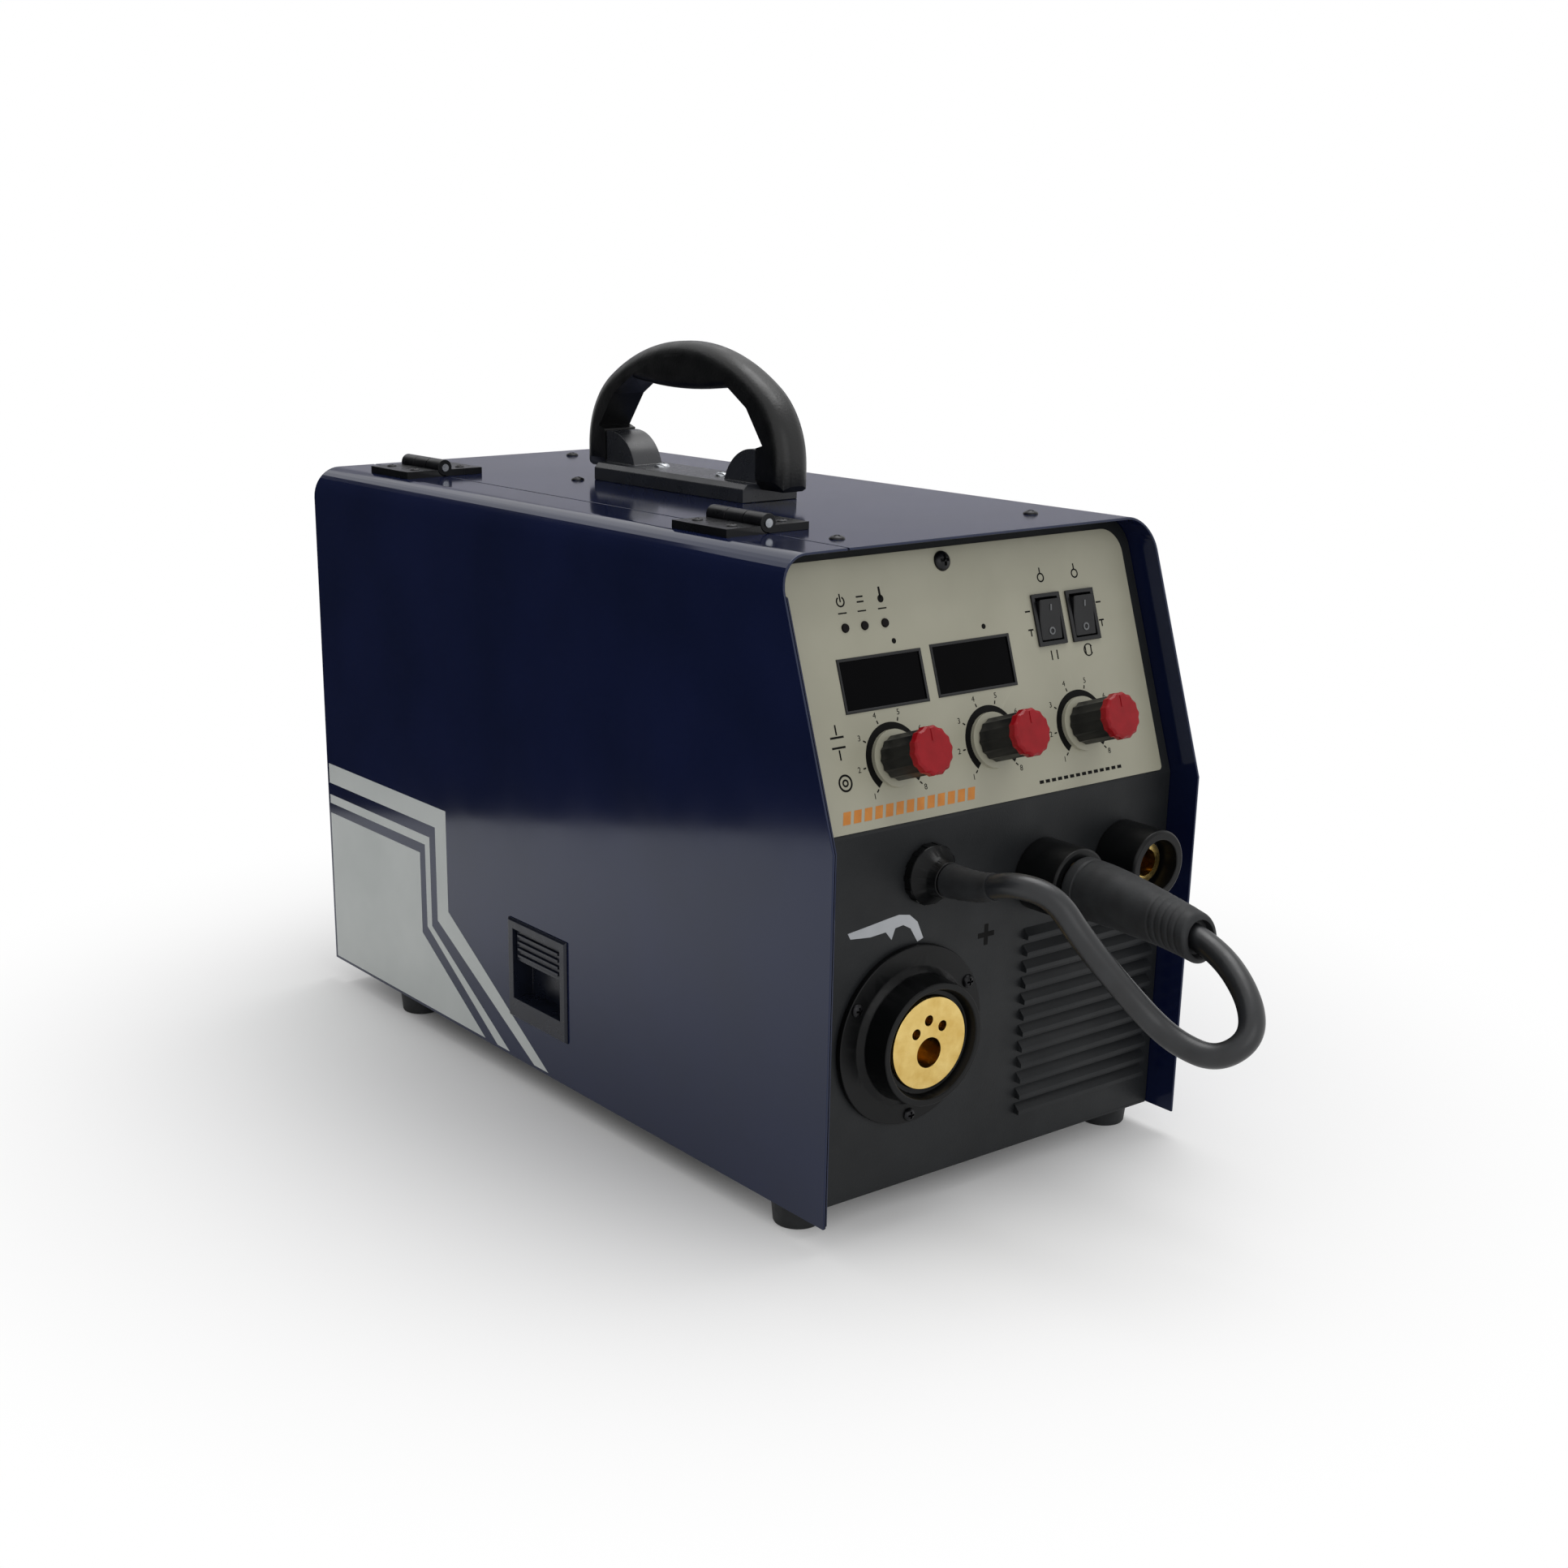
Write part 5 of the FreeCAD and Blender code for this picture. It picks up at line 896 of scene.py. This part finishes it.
def fasciaPrint():
    bm = bmesh.new()
    plates = []
    for x, height in knobSpots.values():
        plates.append(arcBand(x, height, dial["ringIn"], dial["ringOut"], dial["start"],
                              dial["start"] - dial["sweep"], 72))
    for x in facePrint["lampsAt"]:
        plates.append(stroke(x - 2.4, 94.6, x + 2.4, 94.6, 0.6))
    # strokes for the switches' settings, above, below and beside
    for x in facePrint["switchesAt"]:
        plates.append(arcBand(x, 99.0, 1.5, 2.2, 0, 359.9))
        plates.append(stroke(x, 101.0, x, 103.6, 0.7))
        plates += [stroke(x + aside, 61.0, x + aside, 65.4, 0.7) for aside in (-1.8, 1.8)]
    for x in facePrint["switchSidesAt"]:
        plates += [stroke(x - 1.6, height, x + 1.6, height, 0.7) for height in (84.4, 76.0)]
        plates.append(stroke(x, 73.0, x, 76.0, 0.7))
    for name, values in facePrint.items():
        if name.endswith("Strokes"):
            plates += [stroke(*value) for value in values]
        if name.endswith("Rings"):
            plates += [arcBand(*value) for value in values]
    for index in range(facePrint["dashes"]):
        x = facePrint["dashStart"] + index * facePrint["dashPitch"]
        plates.append(stroke(x, 7.4, x + facePrint["dashLength"], 7.4, 1.5))
    for outline in plates:
        addPrism(bm, outline, -0.02, 0.07, fasciaFrame)
    step = dial["sweep"] / (dial["numbers"] - 1)
    for x, height in knobSpots.values():
        for number in range(dial["numbers"]):
            angle = math.radians(dial["start"] - number * step)
            spot = Vector((x + dial["numberReach"] * math.cos(angle),
                           height + dial["numberReach"] * math.sin(angle), 0.02))
            addWords(bm, str(number + 1), dial["numberSize"], fasciaFrame @ Matrix.Translation(spot))
    return meshOf("fasciaPrint", bm, 35)


addPiece("fasciaPrint", fasciaPrint(), "case", blackInk)


def amberHatch():
    # a plain hatched stripe in the corner
    bm = bmesh.new()
    for index in range(13):
        x = -93.0 + index * 6.0
        addPrism(bm, [(x, 6.0), (x + 4.2, 6.0), (x + 5.8, 11.4), (x + 1.6, 11.4)], -0.02, 0.07, fasciaFrame)
    return meshOf("amberHatch", bm)


addPiece("amberHatch", amberHatch(), "case", amberInk)


def displayBezels():
    # a thin raised frame round each window
    bm = bmesh.new()
    for x, height in ((-56.0, 63.6), (-2.4, 64.3)):
        rings = []
        for grow, out in ((0.9, -0.05), (0.7, 0.35), (0.1, 0.45), (-0.45, 0.2), (-0.45, -0.3), (0.3, -0.5)):
            half = 46.5 / 2 + grow
            tall = 22.0 / 2 + grow
            rings.append([fasciaFrame @ Vector((x + dx * half, height + dy * tall, out))
                          for dx, dy in ((-1, -1), (1, -1), (1, 1), (-1, 1))])
        addRings(bm, rings, closedLoop=True)
    return meshOf("displayBezels", bm, 30)


addPiece("displayBezels", displayBezels(), "case", satinPlastic)


def capPointers():
    # the raised line moulded on each knob's cap, one mesh for each knob's body
    for side, (x, height) in knobSpots.items():
        bm = bmesh.new()
        addPrism(bm, stroke(x, height + 4.0, x, height + 9.2, 1.1), 26.2, 26.8, fasciaFrame)
        name = "knobPointer" + side
        addPiece(name, meshOf(name, bm), "knob_" + side.lower() + "_body", redCap)


capPointers()


def rockerMarks():
    # a pale bar on the low end and a ring on the high end of each rocker
    for side, x, height in (("left", 48.0, 79.7), ("right", 70.0, 79.5)):
        tilt = Matrix.Translation(Vector((x, height, 0))) @ Matrix.Rotation(math.radians(9), 4, "X")
        matrix = fasciaFrame @ tilt
        bm = bmesh.new()
        lean = Matrix.Rotation(math.radians(3.5), 4, "X")
        addPrism(bm, stroke(0, 4.2, 0, 7.0, 0.8), 1.75, 2.1, matrix @ lean)
        lean = Matrix.Rotation(math.radians(-3.5), 4, "X")
        addPrism(bm, arcBand(0, -5.4, 1.1, 1.8, 0, 359.9), 1.75, 2.1, matrix @ lean)
        addPiece("rockerMark" + side.capitalize(), meshOf("rockerMark" + side.capitalize(), bm),
                 "rocker_" + side + "_body", greyInk)


rockerMarks()
print("control face printed")


# Marks on the front sheet and film on the door

frontSigns = {
    # outlines in the case's own X and Z: the torch's sign over its socket, and the sockets' polarity
    "torchSign": [[(-89.0, 127.0), (-87.4, 124.2), (-76.0, 123.0), (-67.1, 123.6), (-63.6, 119.4),
                   (-61.6, 124.4), (-57.0, 125.0), (-52.6, 122.6), (-48.2, 115.6), (-44.8, 116.8),
                   (-48.6, 125.0), (-53.4, 129.0), (-59.6, 130.2), (-66.0, 129.6), (-76.0, 128.4)]],
    "polaritySigns": [[(-11.0, 109.6), (-7.2, 109.6), (-7.2, 105.8), (-4.8, 105.8), (-4.8, 109.6),
                       (-1.0, 109.6), (-1.0, 112.0), (-4.8, 112.0), (-4.8, 115.8), (-7.2, 115.8),
                       (-7.2, 112.0), (-11.0, 112.0)],
                      stroke(95.0, 111.0, 102.0, 111.0, 2.0)],
}


def frontSign(name, outlines):
    flip = Matrix(((1, 0, 0, 0), (0, 0, -1, 0), (0, 1, 0, 0), (0, 0, 0, 1)))
    bm = bmesh.new()
    for outline in outlines:
        addPrism(bm, outline, -0.02, 0.08, Matrix.Translation(place(0, 16.5, 0)) @ flip @ millimetres)
    return meshOf(name, bm)


for name, outlines in frontSigns.items():
    addPiece(name, frontSign(name, outlines), "case", silverVinyl if name == "torchSign" else blackInk)


film = {
    # each band's outer and inner edge: how far back it stands, its top, the height of its knee, and how
    # far back it meets the foot, in mm; the field has only an outer edge
    "field": [(345.5, 90.0, 44.0, 281.0)],
    "innerStripe": [(334.6, 101.0, 50.5, 256.5), (339.7, 95.8, 49.0, 268.5)],
    "outerStripe": [(316.5, 119.5, 63.3, 219.3), (328.2, 108.0, 55.4, 232.4)],
}


def doorFilm():
    # a pale field in the lower rear corner, its front edge upright and then slanting forward to the foot,
    # with two stripes along it
    rear = 449.5
    foot = 1.6
    bm = bmesh.new()
    side = Matrix(((0, 0, -1, 0), (1, 0, 0, 0), (0, 1, 0, 0), (0, 0, 0, 1)))
    matrix = Matrix.Translation(place(-112.5, 0, 0)) @ side @ millimetres
    for edges in film.values():
        outline = []
        for front, top, knee, reach in edges:
            line = [(rear, top), (front, top), (front, knee), (reach, foot)]
            outline += line if not outline else line[::-1]
        if len(edges) == 1:
            outline.append((rear, foot))
        addPrism(bm, outline, -0.02, 0.09, matrix)
    return meshOf("doorFilm", bm)


addPiece("doorFilm", doorFilm(), "door", paleVinyl)


def rearMarks():
    # on and off beside the mains switch
    bm = bmesh.new()
    flip = Matrix(((-1, 0, 0, 0), (0, 0, 1, 0), (0, 1, 0, 0), (0, 0, 0, 1)))
    matrix = Matrix.Translation(place(0, 440.0, 0)) @ flip @ millimetres
    addPrism(bm, stroke(-36.0, 243.0, -36.0, 249.0, 1.0), -0.02, 0.08, matrix)
    addPrism(bm, arcBand(-36.0, 230.0, 2.1, 3.1, 0, 359.9), -0.02, 0.08, matrix)
    return meshOf("switchMarks", bm)


addPiece("switchMarks", rearMarks(), "case", whiteInk)


# The feeder's spring, wound from wire

spring = {"turns": 6, "stepsPerTurn": 28, "wire": 1.6, "radius": 5.4, "low": 22.2, "high": 38.7}


def tensionSpring():
    # wound about the lever's rod, from the washer to the knob
    points = []
    steps = spring["turns"] * spring["stepsPerTurn"]
    for step in range(steps + 1):
        angle = 2 * math.pi * step / spring["stepsPerTurn"]
        height = spring["low"] + (spring["high"] - spring["low"]) * step / steps
        local = Vector((spring["radius"] * math.cos(angle), spring["radius"] * math.sin(angle), height))
        points.append(leverPivot + leverTurn @ local / 1000)
    bm = bmesh.new()
    addTube(bm, points, [spring["wire"] / 2000] * len(points), 12)
    return meshOf("tensionSpring", bm, 60)


addPiece("tensionSpring", tensionSpring(), "lever", zincPlate, ["tension_spring"])


# Brass rings of the sockets and ridges of the gas tail

socketMaterials = frame["nodes"]["socket_brasses"].data.materials
socketMaterials.clear()
socketMaterials.append(makeTurnedBrass("turned free-cutting brass, output sockets", 79.0, 134.0))


def tailRidges():
    # the saw-tooth ridges that grip the gas hose
    bm = bmesh.new()
    matrix = framed(place(-60.0, 440.0, 60.0), rearward)
    for start in (8.0, 12.0, 16.0, 20.0):
        addTurned(bm, [(3.6, start), (4.6, start), (3.9, start + 3.2), (3.6, start + 3.2)], matrix, 40)
    return meshOf("tailRidges", bm, 35)


addPiece("tailRidges", tailRidges(), "case", finishes["brass"])
print("marks, spring and ridges made")
